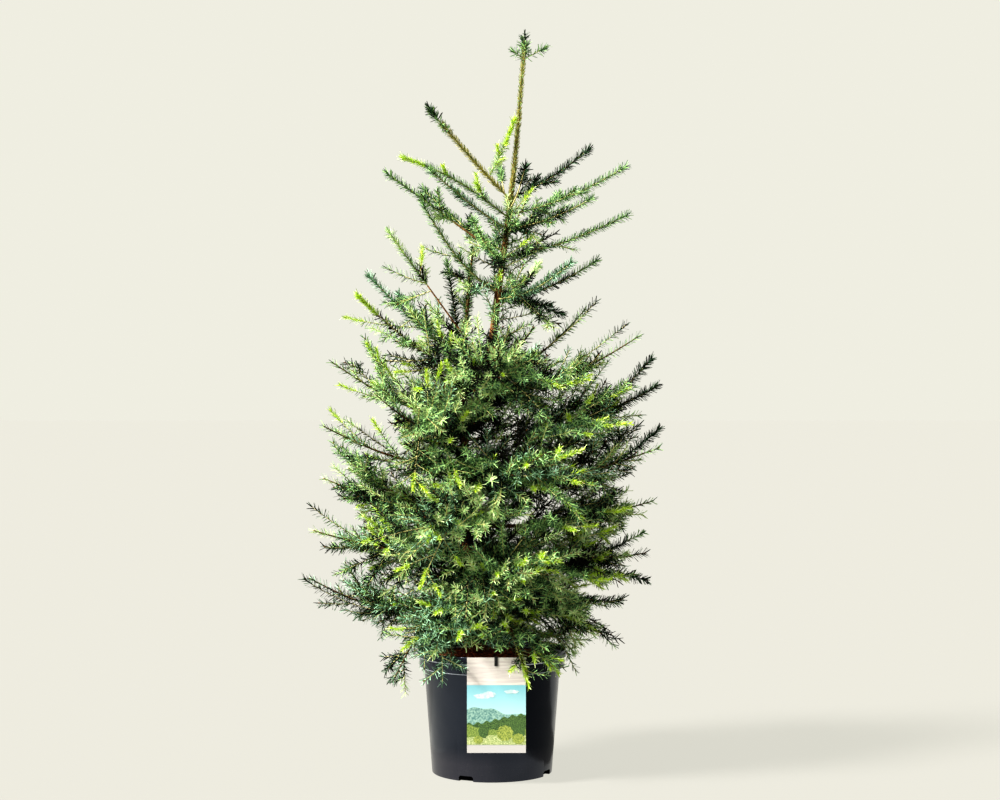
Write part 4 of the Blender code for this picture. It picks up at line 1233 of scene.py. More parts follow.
    def grow_tips(self):
        """The single shoots that bristle out of the crown's outline."""
        rng = random.Random(SEED + 3)
        for name, share, *tip, base_kind, tip_kind in LONG_TIPS:
            shoot = reaching(name, share, tip, -LONG_TIP_SAG)
            for _ in range(BRUSH_LAYERS if base_kind == "dark" else 1):
                self.dress_shoot(shoot, base_kind, tip_kind, FINE_RADIUS, rng)

    def grow_skirt(self):
        """Long drooping sprays round the trunk's foot, which hide it and the pot's far rim."""
        rng = random.Random(SEED + 1)
        for k in range(SKIRT_SPRAYS):
            height = SKIRT_LOW + (SKIRT_HIGH - SKIRT_LOW) * (k + rng.random()) / SKIRT_SPRAYS
            centre, radius = stem_at(TRUNK_STATIONS, height)
            out = level_way(GOLDEN_ANGLE * k)
            length = SKIRT_LENGTH * rng.uniform(0.5, 1.25)
            for attempt in range(TRIES):
                ahead = (out + UP * rng.uniform(-0.25, 0.35)).normalized()
                fitted = length * TRY_SHRINK ** attempt
                shoot = Shoot(centre + out * radius * IN_BARK, ahead, fitted, rng.uniform(-0.3, 0.05))
                if all(self.space.clear_of_solids(shoot_point(shoot, share)) for share in SKIRT_TESTS):
                    kind = rng.choice(("dark", "blue", "mid", "mid"))
                    tip_kind = rng.choice((kind, "light", "fresh"))
                    self.dress_spray(shoot, kind, tip_kind, SKIRT_SHARES, rng)
                    break

    def dress_spray(self, shoot, base_kind, tip_kind, shares, rng):
        """One shoot and its finer ones on both sides, at these shares of its length."""
        self.dress_shoot(shoot, base_kind, tip_kind, FINE_RADIUS, rng)
        wide = UP.cross(shoot.ahead).normalized() * rng.choice((-1, 1))
        for share in shares:
            wide = wide * -1.0
            ahead = shoot.ahead * SPRAY_AHEAD + wide * SPRAY_ASIDE + UP * rng.uniform(-0.2, 0.2)
            length = shoot.length * (SPRAY_LENGTH - SPRAY_TAPER * share) * rng.uniform(0.8, 1.2)
            side = Shoot(shoot_point(shoot, share), ahead.normalized(), length, rng.uniform(-0.05, 0.15))
            if side.length > FINE_LEAST and self.space.is_open(shoot_point(side, 1.0)):
                other_kind = "mid" if tip_kind == "fresh" else base_kind
                side_kind = tip_kind if rng.random() < SAME_TIPS else other_kind
                self.dress_shoot(side, base_kind, side_kind, SHORT_RADIUS, rng)

    def end_bud(self, place, share):
        """A bud at the end of a twig."""
        tip = place(share)
        onward = (tip - place(share - 0.05)).normalized()
        self.buds.add([tip - onward * 0.0015, tip + onward * 0.0015], [1.0, 1.0])

    def deal(self, rng, limb, along):
        """The kinds of needle on a spray and on its tips, by where it stands on its limb and how its limb
        faces the key light: painted shade and painted light.
        """
        heading = math.radians(limb.heading)
        lit = 0.5 - LIGHT_LEFT * math.cos(heading) - LIGHT_FRONT * math.sin(heading)
        inner = max(0.0, INNER_END - along)
        weights = {
            "shade": SHADE_WEIGHTS[0] + SHADE_WEIGHTS[1] * inner + SHADE_WEIGHTS[2] * (1.0 - lit),
            "dark": DARK_WEIGHT,
            "blue": BLUE_WEIGHTS[0] + BLUE_WEIGHTS[1] * lit,
            "mid": MID_WEIGHTS[0] + MID_WEIGHTS[1] * lit,
        }
        base = rng.choices(list(weights), list(weights.values()))[0]
        roll = rng.random()
        if limb.twig < THIN_TWIG:
            tips = zip(THIN_TIPS, (base, "light"))
            other = "mid"
        else:
            tips = zip((FRESH_TIPS, FRESH_TIPS + (LIGHT_TIPS[0] + LIGHT_TIPS[1] * lit)), ("fresh", "light"))
            other = base
        return base, next((tip for limit, tip in tips if roll < limit), other)

    def dress_stems(self):
        """Needles pressed to the leader and to the bare limb beside it, and others on both stems."""
        heights = spread(LEADER_FOOT, TRUNK_STATIONS[-1][0], LEADER_STEPS)
        line = [trunk_axis(height) for height in heights]
        for kind, opening in (("leader", 1.0), ("dark", 0.5), ("mid", 0.5)):
            self.needles[kind][-1].add(line, spread(1.0, 0.75, LEADER_STEPS), [opening] * len(line))
        self.coat_stem(*STEM_COATS[0])
        limb = LIMB_BY_NAME[BARE_LIMB]
        line = [limb_point(limb, share) for share in spread(*BARE_LIMB_ENDS, BARE_LIMB_STEPS)]
        for kind, opening in (("leader", 1.2), ("dark", 0.6)):
            self.needles[kind][-1].add(line, [0.85] * len(line), [opening] * len(line))
        for coat in STEM_COATS[1:]:
            self.coat_stem(*coat)
        for share in BARE_LIMB_TUFTS:
            self.tuft(limb_point(limb, share), limb_frame(limb, share)[0], "dark")

    def coat_stem(self, stations, low, high, steps, sizes, opens, kinds):
        """Needles of these kinds on part of a stem."""
        for kind in kinds:
            self.clothe(lambda height: stem_at(stations, height)[0], low, high, kind, steps, sizes, opens)

    def grow_sprigs(self):
        """The single shoots that stand out on the trunk."""
        rng = random.Random(SEED)
        for height, heading, rise, length, base_kind, tip_kind in SPRIGS:
            out = level_way(math.radians(heading), rise).normalized()
            shoot = Shoot(trunk_axis(height), out, length, SPRIG_TURN)
            self.dress_shoot(shoot, base_kind, tip_kind, SHORT_RADIUS, rng)
            if height > SPRIG_TUFTS:
                self.tuft(shoot_point(shoot, SPRIG_TUFT_AT), out, tip_kind)

    def tuft(self, foot, ahead, kind):
        """A dense brush of needles round an end bud."""
        for turn_up in TUFT_TURNS:
            shoot = Shoot(foot, ahead, NEEDLE_TIP, turn_up)
            self.clothe(partial(shoot_point, shoot), 0.0, 1.0, kind, 3, (1.0, 1.0), (1.1, 0.4))


# Node trees


def needle_tree():
    """Needles in a spiral along every line, spread to the sides and over the top."""
    sizes = dict.fromkeys(("Spacing", "Length", "Width", "Angle", "Below"), "Float")
    tree, given = new_tree("Needles on twigs", **sizes, Seed="Int", Needle="Object", Material="Material")
    add = partial(add_node, tree)
    curve = add("GeometryNodeMeshToCurve", {"Mesh": given["Geometry"]}).outputs["Curve"]
    values = {"Curve": curve, "Length": given["Spacing"]}
    dots = add("GeometryNodeCurveToPoints", values, mode="LENGTH").outputs["Points"]
    onward = add("GeometryNodeInputNamedAttribute", {"Name": "onward"}, data_type="FLOAT_VECTOR").outputs[0]
    size = add("GeometryNodeInputNamedAttribute", {"Name": "size"}, data_type="FLOAT").outputs[0]
    opening = add("GeometryNodeInputNamedAttribute", {"Name": "open"}, data_type="FLOAT").outputs[0]
    index = add("GeometryNodeInputIndex").outputs[0]

    # What differs from needle to needle: its place in the spiral, its angle, its twist and its length
    chances = []
    for shift, low, high in ((1.0, -0.5, 0.5), (2.0, 0.90, 1.10), (3.0, -0.9, 0.9), (4.0, 0.85, 1.08)):
        seed = add("ShaderNodeMath", {0: given["Seed"], 1: shift}, operation="ADD").outputs[0]
        values = {2: low, 3: high, "Seed": seed}
        chances.append(add("FunctionNodeRandomValue", values, data_type="FLOAT").outputs[1])
    place_chance, angle_chance, twist_chance, length_chance = chances

    # The way out from the line, which is drawn in where it points below the line
    spiral = add("ShaderNodeMath", {0: index, 1: GOLDEN_ANGLE}, operation="MULTIPLY").outputs[0]
    turn = add("ShaderNodeMath", {0: spiral, 1: place_chance}, operation="ADD").outputs[0]
    height = add("ShaderNodeMath", {0: turn}, operation="SINE").outputs[0]
    low = add("ShaderNodeMath", {0: height, 1: 0.0}, operation="MINIMUM").outputs[0]
    below = add("ShaderNodeMath", {0: low, 1: given["Below"]}, operation="MULTIPLY").outputs[0]
    above = add("ShaderNodeMath", {0: height, 1: 0.0}, operation="MAXIMUM").outputs[0]
    lift = add("ShaderNodeMath", {0: above, 1: below}, operation="ADD").outputs[0]
    reach = add("ShaderNodeMath", {0: turn}, operation="COSINE").outputs[0]
    across = add("ShaderNodeVectorMath", {0: onward, 1: UP}, operation="CROSS_PRODUCT").outputs[0]
    side = add("ShaderNodeVectorMath", {0: across}, operation="NORMALIZE").outputs[0]
    over = add("ShaderNodeVectorMath", {0: side, 1: onward}, operation="CROSS_PRODUCT").outputs[0]
    sideways = add("ShaderNodeVectorMath", {0: side, "Scale": reach}, operation="SCALE").outputs[0]
    upwards = add("ShaderNodeVectorMath", {0: over, "Scale": lift}, operation="SCALE").outputs[0]
    radial = add("ShaderNodeVectorMath", {0: sideways, 1: upwards}, operation="ADD").outputs[0]
    radial = add("ShaderNodeVectorMath", {0: radial}, operation="NORMALIZE").outputs[0]

    # The way that the needle points, between onward and outward
    angle = add("ShaderNodeMath", {0: given["Angle"], 1: opening}, operation="MULTIPLY").outputs[0]
    angle = add("ShaderNodeMath", {0: angle, 1: angle_chance}, operation="MULTIPLY").outputs[0]
    ahead = add("ShaderNodeMath", {0: angle}, operation="COSINE").outputs[0]
    aside = add("ShaderNodeMath", {0: angle}, operation="SINE").outputs[0]
    forward = add("ShaderNodeVectorMath", {0: onward, "Scale": ahead}, operation="SCALE").outputs[0]
    outward = add("ShaderNodeVectorMath", {0: radial, "Scale": aside}, operation="SCALE").outputs[0]
    direction = add("ShaderNodeVectorMath", {0: forward, 1: outward}, operation="ADD").outputs[0]
    flat = add("ShaderNodeVectorMath", {0: onward, 1: radial}, operation="CROSS_PRODUCT").outputs[0]
    values = {"Primary Axis": direction, "Secondary Axis": flat}
    settings = {"primary_axis": "Z", "secondary_axis": "X"}
    aim = add("FunctionNodeAxesToRotation", values, **settings).outputs[0]
    twist = add("ShaderNodeCombineXYZ", {2: twist_chance}).outputs[0]
    spin = add("FunctionNodeEulerToRotation", {0: twist}).outputs[0]
    values = {"Rotation": aim, "Rotate By": spin}
    rotation = add("FunctionNodeRotateRotation", values, rotation_space="LOCAL").outputs[0]
    length = add("ShaderNodeMath", {0: given["Length"], 1: size}, operation="MULTIPLY").outputs[0]
    length = add("ShaderNodeMath", {0: length, 1: length_chance}, operation="MULTIPLY").outputs[0]
    scale = add("ShaderNodeCombineXYZ", {0: given["Width"], 1: given["Width"], 2: length}).outputs[0]
    return place_copies(tree, dots, given["Needle"], rotation, scale, given["Material"])


def twig_tree():
    """A thin tube along every line, as thick as the line's own size."""
    tree, given = new_tree("Wood of twigs", Sides="Int", Material="Material")
    add = partial(add_node, tree)
    curve = add("GeometryNodeMeshToCurve", {"Mesh": given["Geometry"]}).outputs["Curve"]
    size = add("GeometryNodeInputNamedAttribute", {"Name": "size"}, data_type="FLOAT").outputs[0]
    values = {"Resolution": given["Sides"], "Radius": 1.0}
    ring = add("GeometryNodeCurvePrimitiveCircle", values, mode="RADIUS").outputs["Curve"]
    values = {"Curve": curve, "Profile Curve": ring, "Scale": size, "Fill Caps": True}
    tube = add("GeometryNodeCurveToMesh", values).outputs["Mesh"]
    return end_tree(tree, tube, given["Material"])


def bud_tree():
    """A bud on the first point of every line, turned the way that the line runs."""
    tree, given = new_tree("Buds on twig ends", Size="Float", Bud="Object", Material="Material")
    add = partial(add_node, tree)
    onward = add("GeometryNodeInputNamedAttribute", {"Name": "onward"}, data_type="FLOAT_VECTOR").outputs[0]
    index = add("GeometryNodeInputIndex").outputs[0]
    odd = add("ShaderNodeMath", {0: index, 1: 2.0}, operation="MODULO").outputs[0]
    first = add("ShaderNodeMath", {0: odd, 1: 0.5}, operation="LESS_THAN").outputs[0]
    values = {"Mesh": given["Geometry"], "Selection": first}
    dots = add("GeometryNodeMeshToPoints", values).outputs["Points"]
    aim = add("FunctionNodeAlignRotationToVector", {"Vector": onward}, axis="Z").outputs[0]
    return place_copies(tree, dots, given["Bud"], aim, given["Size"], given["Material"])


def chip_tree():
    """Chips strewn over a surface, each turned and stretched at random."""
    sizes = dict.fromkeys(("Density", "Size"), "Float")
    tree, given = new_tree("Chips on compost", **sizes, Seed="Int", Chip="Object", Material="Material")
    add = partial(add_node, tree)
    values = {"Mesh": given["Geometry"], "Density": given["Density"], "Seed": given["Seed"]}
    dots = add("GeometryNodeDistributePointsOnFaces", values, distribute_method="RANDOM").outputs["Points"]
    values = {0: (-0.45, -0.45, 0.0), 1: (0.45, 0.45, 6.283), "Seed": given["Seed"]}
    turn = add("FunctionNodeRandomValue", values, data_type="FLOAT_VECTOR").outputs[0]
    values = {0: (0.35, 0.25, 0.15), 1: (1.0, 0.6, 0.4), "Seed": 7}
    stretch = add("FunctionNodeRandomValue", values, data_type="FLOAT_VECTOR").outputs[0]
    values = {0: stretch, "Scale": given["Size"]}
    scale = add("ShaderNodeVectorMath", values, operation="SCALE").outputs[0]
    return place_copies(tree, dots, given["Chip"], turn, scale, given["Material"])


# Materials


def needle_material(kind, colour, roughness):
    """Waxy spruce needle: a plain colour for each kind of spray, with a dull gloss from its wax."""
    material, _, _ = new_material("waxy_needle_" + kind, colour, roughness, Specular_IOR_Level=0.15)
    return material


def twig_material(name, colour):
    """Thin bark of a young shoot: smooth, matt and plain at this size."""
    material, _, _ = new_material(name, colour, 0.75, Specular_IOR_Level=0.2)
    return material


def bark_material(colours, flake):
    """Flaky bark of a young trunk: light flakes, dark cracks, fine grain, and green young bark at the top."""
    material, tree, shader = new_material("flaky_spruce_bark", colours.bark, 0.85, Specular_IOR_Level=0.25)
    add = partial(add_node, tree)
    place = add("ShaderNodeTexCoord").outputs["Object"]
    height = add("ShaderNodeSeparateXYZ", {0: place}).outputs["Z"]
    longways = add("ShaderNodeMapping", {"Vector": place, "Scale": (1.0, 1.0, FLAKE_STRETCH)}).outputs[0]
    values = {"Vector": longways, "Scale": 1.0 / flake}
    cells = add("ShaderNodeTexVoronoi", values, feature="DISTANCE_TO_EDGE").outputs["Distance"]
    flakes = add("ShaderNodeMapRange", {"Value": cells, "From Max": 0.22}).outputs["Result"]
    values = {"Vector": longways, "Scale": 1.0 / (2.5 * MM), "Detail": 4.0}
    grain = add("ShaderNodeTexNoise", values).outputs["Fac"]
    amount = add("ShaderNodeMath", {0: flakes, 1: grain}, operation="MULTIPLY").outputs[0]
    values = {"Value": amount, "From Min": 0.10, "From Max": 0.60}
    share = add("ShaderNodeMapRange", values).outputs["Result"]
    values = {0: share, 6: (*colours.bark_deep, 1.0), 7: (*colours.bark, 1.0)}
    mixed = add("ShaderNodeMix", values, data_type="RGBA").outputs[2]
    values = {"Value": height, "From Min": 0.98, "From Max": 1.10, "To Max": 0.85}
    green = add("ShaderNodeMapRange", values).outputs["Result"]
    values = {0: green, 6: mixed, 7: (*linear("#77713A"), 1.0)}
    mixed = add("ShaderNodeMix", values, data_type="RGBA").outputs[2]
    tree.links.new(mixed, shader.inputs["Base Color"])
    bump = add("ShaderNodeBump", {"Height": amount, "Distance": 0.5 * MM, "Strength": 0.6}).outputs[0]
    tree.links.new(bump, shader.inputs["Normal"])
    return material


def pot_material(colours):
    """Injection-moulded polypropylene: near black, a soft gloss that varies, dust low down, a painted floor
    reflection at the foot and painted highlights along the band edges.
    """
    gloss = {"Specular_IOR_Level": 0.9, "Specular_Tint": (0.66, 0.76, 1.0, 1.0)}
    material, tree, shader = new_material("moulded_polypropylene", colours.pot, 0.30, **gloss)
    add = partial(add_node, tree)
    place = add("ShaderNodeTexCoord").outputs["Object"]
    height = add("ShaderNodeSeparateXYZ", {0: place}).outputs["Z"]
    patterns = []
    for size, detail in ((45 * MM, 5.0), (6 * MM, 6.0), (70 * MM, 2.0)):
        values = {"Vector": place, "Scale": 1.0 / size, "Detail": detail}
        patterns.append(add("ShaderNodeTexNoise", values).outputs["Fac"])
    cloud, dust, wave = patterns
    values = {"Value": cloud, "From Min": 0.3, "From Max": 0.7, "To Min": 0.16, "To Max": 0.26}
    tree.links.new(add("ShaderNodeMapRange", values).outputs["Result"], shader.inputs["Roughness"])
    values = {"Value": height, "From Max": 0.07, "To Min": 1.0, "To Max": 0.25}
    low = add("ShaderNodeMapRange", values).outputs["Result"]
    values = {"Value": dust, "From Min": 0.55, "From Max": 0.75, "To Max": 0.16}
    dusty = add("ShaderNodeMapRange", values).outputs["Result"]
    amount = add("ShaderNodeMath", {0: dusty, 1: low}, operation="MULTIPLY").outputs[0]
    values = {0: amount, 6: (*colours.pot, 1.0), 7: (*linear("#5A554E"), 1.0)}
    mixed = add("ShaderNodeMix", values, data_type="RGBA").outputs[2]
    # A paler band at the foot is painted reflection of the floor
    values = {"Value": height, "From Min": 0.03, "From Max": 0.06, "To Min": 0.6, "To Max": 0.0}
    painted_floor_reflection = add("ShaderNodeMapRange", values).outputs["Result"]
    values = {0: painted_floor_reflection, 6: mixed, 7: (*linear("#343134"), 1.0)}
    mixed = add("ShaderNodeMix", values, data_type="RGBA").outputs[2]
    # Pale lines along the lower edges of the rim bands, broken up by the cloud pattern, are painted
    # highlights
    values = {"Value": cloud, "From Min": 0.25, "From Max": 0.45}
    broken = add("ShaderNodeMapRange", values).outputs["Result"]
    for edge in POT_EDGES:
        away = add("ShaderNodeMath", {0: height, 1: edge}, operation="SUBTRACT").outputs[0]
        away = add("ShaderNodeMath", {0: away}, operation="ABSOLUTE").outputs[0]
        values = {"Value": away, "From Min": 0.8 * MM, "From Max": 1.7 * MM, "To Min": 1.0, "To Max": 0.0}
        line = add("ShaderNodeMapRange", values).outputs["Result"]
        painted_edge_highlight = add("ShaderNodeMath", {0: line, 1: broken}, operation="MULTIPLY").outputs[0]
        values = {0: painted_edge_highlight, 6: mixed, 7: (*linear("#CDD1DA"), 1.0)}
        mixed = add("ShaderNodeMix", values, data_type="RGBA").outputs[2]
    tree.links.new(mixed, shader.inputs["Base Color"])
    bump = add("ShaderNodeBump", {"Height": wave, "Distance": 3.0 * MM, "Strength": 0.5}).outputs[0]
    tree.links.new(bump, shader.inputs["Normal"])
    return material


def compost_material(colours):
    """Composted bark: matt, from damp dark fines to dry red-brown chips."""
    material, tree, shader = new_material("composted_bark", colours.compost, 0.95, Specular_IOR_Level=0.15)
    add = partial(add_node, tree)
    place = add("ShaderNodeTexCoord").outputs["Object"]
    values = {"Vector": place, "Scale": 1.0 / (9 * MM), "Detail": 6.0}
    patches = add("ShaderNodeTexNoise", values).outputs["Fac"]
    values = {"Value": patches, "From Min": 0.35, "From Max": 0.68}
    share = add("ShaderNodeMapRange", values).outputs["Result"]
    values = {0: share, 6: (*colours.compost_deep, 1.0), 7: (*colours.compost, 1.0)}
    tree.links.new(add("ShaderNodeMix", values, data_type="RGBA").outputs[2], shader.inputs["Base Color"])
    bump = add("ShaderNodeBump", {"Height": patches, "Distance": 1.0 * MM, "Strength": 0.8}).outputs[0]
    tree.links.new(bump, shader.inputs["Normal"])
    return material


def card_material(colours):
    """Coated card: pale, with the faint mottle of its fibres."""
    material, tree, shader = new_material("coated_card", colours.card, 0.42)
    add = partial(add_node, tree)
    place = add("ShaderNodeTexCoord").outputs["Object"]
    values = {"Vector": place, "Scale": 1.0 / (1.5 * MM), "Detail": 3.0}
    fibres = add("ShaderNodeTexNoise", values).outputs["Fac"]
    bump = add("ShaderNodeBump", {"Height": fibres, "Distance": 0.05 * MM, "Strength": 0.3}).outputs[0]
    tree.links.new(bump, shader.inputs["Normal"])
    return material


def print_material(name, low, high, grain_mm, stretch=(1.0, 1.0, 1.0)):
    """Glossy ink on card: two close inks mottled at the size of the thing that it shows."""
    low, high = linear(low), linear(high)
    material, tree, shader = new_material(name, low, 0.32)
    add = partial(add_node, tree)
    place = add("ShaderNodeTexCoord").outputs["Object"]
    place = add("ShaderNodeMapping", {"Vector": place, "Scale": stretch}).outputs[0]
    values = {"Vector": place, "Scale": 1.0 / (grain_mm * MM), "Detail": 4.0}
    mottle = add("ShaderNodeTexNoise", values).outputs["Fac"]
    values = {"Value": mottle, "From Min": 0.36, "From Max": 0.64}
    share = add("ShaderNodeMapRange", values).outputs["Result"]
    values = {0: share, 6: (*low, 1.0), 7: (*high, 1.0)}
    tree.links.new(add("ShaderNodeMix", values, data_type="RGBA").outputs[2], shader.inputs["Base Color"])
    return material


def sky_material(low_z, high_z):
    """Glossy ink for the sky: pale at the foot, clear blue at the top."""
    material, tree, shader = new_material("printed_sky", linear("#9CC8CC"), 0.32)
    add = partial(add_node, tree)
    place = add("ShaderNodeTexCoord").outputs["Object"]
    height = add("ShaderNodeSeparateXYZ", {0: place}).outputs["Z"]
    values = {"Value": height, "From Min": low_z, "From Max": high_z}
    share = add("ShaderNodeMapRange", values).outputs["Result"]
    values = {0: share, 6: (*linear("#D3E5E3"), 1.0), 7: (*linear("#85C0CB"), 1.0)}
    tree.links.new(add("ShaderNodeMix", values, data_type="RGBA").outputs[2], shader.inputs["Base Color"])
    return material


# The pieces


def loops(rows, sides):
    """The faces between rings of points that stand one over the other."""
    faces = []
    for low in range(0, rows * sides, sides):
        for k in range(sides):
            after = (k + 1) % sides
            faces.append((low + k, low + after, low + sides + after, low + sides + k))
    return faces


def bark_tube(place, radius, shares, sides, relief):
    """Points and faces of a closed tube along a line, with the bark's relief on it."""
    points = []
    for share in shares:
        centre = place(share)
        ahead = (place(min(share + 0.01, shares[-1])) - place(max(share - 0.01, shares[0]))).normalized()
        side = ahead.orthogonal().normalized() if abs(ahead.z) < 0.9 else Vector((1.0, 0.0, 0.0))
        over = ahead.cross(side).normalized()
        side = over.cross(ahead).normalized()
        size = radius(share)
        for angle in turns(sides):
            out = side * math.cos(angle) + over * math.sin(angle)
            spot = centre + out * size
            points.append(spot + out * relief(spot, angle, size))
    faces = loops(len(shares) - 1, sides)
    faces.append(tuple(range(sides))[::-1])
    faces.append(tuple(range(len(points) - sides, len(points))))
    return points, faces


def flaky(flake):
    """The relief of flaky bark: cracks between flakes and a fine grain, in metres."""
    def relief(spot, angle, size):
        place = Vector((spot.x, spot.y, spot.z * FLAKE_STRETCH)) / flake
        near = noise.voronoi(place)[0]
        crack = max(0.0, 1.0 - (near[1] - near[0]) / CRACK_SHARE)
        grain = noise.noise(spot / (GRAIN_SHARE * flake))
        return (GRAIN_DEPTH * grain - CRACK_DEPTH * crack) * min(size, RELIEF_MOST)

    return relief


def make_stems(colours, sizes):
    """Trunk, second stem and limbs, with their bark in relief."""
    bark = bark_material(colours, sizes.flake_size)
    relief = flaky(sizes.flake_size)
    whorls = sorted({limb.height for limb in LIMBS if limb.stem == "trunk" and limb.name != "leader"})

    def trunk_radius(height):
        collar = sum(math.exp(-((height - whorl) / COLLAR_WIDTH) ** 2) for whorl in whorls)
        return stem_at(TRUNK_STATIONS, height)[1] * (1.0 + COLLAR_SWELL * min(collar, 1.0))

    def second_radius(height):
        return stem_at(SECOND_STATIONS, height)[1]

    def flare(spot, angle, size):
        foot = max(0.0, 1.0 - (spot.z - TRUNK_STATIONS[0][0]) / FLARE_HEIGHT)
        return relief(spot, angle, size) - FLARE_DEPTH * foot * (1.0 - math.cos(5 * angle + 0.6)) / 2

    stems = (
        ("trunk_bark", "trunk", TRUNK_STATIONS, trunk_radius, TRUNK_SIDES, flare),
        ("second_stem_bark", "second_stem", SECOND_STATIONS, second_radius, SECOND_SIDES, relief),
    )
    for name, node, stations, radius, sides, surface in stems:
        low, high = stations[0][0], stations[-1][0]
        heights = spread(low, high, round((high - low) / sizes.bark_step))
        points, faces = bark_tube(lambda h: stem_at(stations, h)[0], radius, heights, sides, surface)
        closed_piece(name, points, faces, bark, "bark", node)
    all_points, all_faces = [], []
    for limb in LIMBS:
        old = limb.stem == "trunk" and limb.height < YOUNG_LIMBS
        if not (limb.bare or old):
            continue
        end = max(limb.bare, OLD_BARK_END if old else 0.0)
        shares = spread(0.0, end, max(3, round(limb_length(limb) * end / LIMB_BARK_STEP)))
        axis, radius = partial(limb_point, limb), partial(limb_radius, limb)
        points, faces = bark_tube(axis, radius, shares, LIMB_SIDES, flaky(0.5 * sizes.flake_size))
        first = len(all_points)
        all_points += points
        all_faces += [tuple(first + k for k in face) for face in faces]
    boughs = [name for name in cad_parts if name.startswith("bough_")]
    closed_piece("bough_bark", all_points, all_faces, bark, "bark", *boughs)


def needle_shape():
    """A needle of unit length along Z: straight sides that narrow a little to a blunt point, four faces."""
    points = ((-0.5, 0.0, 0.0), (0.5, 0.22, 0.0), (0.38, 0.0, 0.88), (-0.16, 0.22, 1.0))
    faces = ((0, 1, 2), (0, 2, 3), (0, 1, 3), (1, 2, 3))
    obj = new_mesh_object("needle_shape", points, faces, smooth=False)
    turn_outwards(obj)
    return obj


def bud_shape():
    """A bud of unit length along Z: a pointed ovoid of scales."""
    points = [(0.0, 0.0, 0.0)] + [(0.26 * math.cos(t), 0.26 * math.sin(t), 0.42) for t in turns(5)]
    points.append((0.0, 0.0, 1.0))
    faces = []
    for k in range(5):
        after = (k + 1) % 5
        faces += [(0, 1 + after, 1 + k), (1 + k, 1 + after, 6)]
    obj = new_mesh_object("bud_shape", points, faces, smooth=True)
    turn_outwards(obj)
    return obj


def make_foliage(colours, sizes):
    """Twigs, needles and buds over the whole crown."""
    foliage = Foliage(sizes.twigs_per_pair)
    masses = [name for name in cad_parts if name.startswith("foliage_")]
    needle = needle_shape()
    tree = needle_tree()
    for seed, (kind, rule) in enumerate(NEEDLE_KINDS.items()):
        values = {
            "Spacing": sizes.needle_spacing * rule.spacing,
            "Length": sizes.needle_length * rule.length,
            "Width": sizes.needle_width * rule.width,
            "Angle": math.radians(rule.angle),
            "Below": rule.below,
            "Seed": SEED + seed,
            "Needle": needle,
            "Material": needle_material(kind, getattr(colours, kind), rule.roughness),
        }
        for number, lines in enumerate(foliage.needles[kind]):
            obj = grown(lines.as_object(f"needles_{kind}_{number + 1}"), tree, values)
            join_piece(obj, "needles", *masses)
            masses = []
    wood = twig_tree()
    for kind in foliage.wood:
        obj = foliage.wood[kind].as_object("twigs_" + kind)
        material = twig_material(kind + "_twig_bark", getattr(colours, kind + "_wood"))
        grown(obj, wood, {"Sides": sizes.twig_sides, "Material": material})
        join_piece(obj, "bark")
    bud = bud_shape()
    buds = foliage.buds.as_object("buds")
    scales = twig_material("bud_scales", linear("#7A4F2A"))
    grown(buds, bud_tree(), {"Size": BUD_LENGTH, "Bud": bud, "Material": scales})
    join_piece(buds, "bark")
    for obj in (needle, bud):
        bpy.data.objects.remove(obj, do_unlink=True)


def turned(name, profile, segments, material):
    """A body of revolution from a profile that starts and ends on the axis."""
    points = [(0.0, 0.0, profile[0][1])]
    faces = []
    for radius, height in profile[1:-1]:
        points += [(radius * math.cos(angle), radius * math.sin(angle), height) for angle in turns(segments)]
    points.append((0.0, 0.0, profile[-1][1]))
    last = len(points) - 1
    rows = len(profile) - 2
    for k in range(segments):
        after = (k + 1) % segments
        faces.append((0, 1 + after, 1 + k))
        for row in range(rows - 1):
            low = 1 + row * segments
            faces.append((low + k, low + after, low + segments + after, low + segments + k))
        top = 1 + (rows - 1) * segments
        faces.append((top + k, top + after, last))
    obj = new_mesh_object(name, points, faces, material)
    turn_outwards(obj)
    return obj


def rounded(corners, radius, steps=3):
    """A profile with its corners rounded."""
    profile = [corners[0]]
    for before, corner, after in zip(corners, corners[1:], corners[2:]):
        here = Vector(corner)
        to_before = Vector(before) - here
        to_after = Vector(after) - here
        size = min(radius, 0.45 * to_before.length, 0.45 * to_after.length)
        start = here + to_before.normalized() * size
        end = here + to_after.normalized() * size
        for t in spread(0.0, 1.0, steps):
            point = start * (1 - t) ** 2 + here * (2 * t * (1 - t)) + end * t ** 2
            profile.append((point.x, point.y))
    profile.append(corners[-1])
    return profile


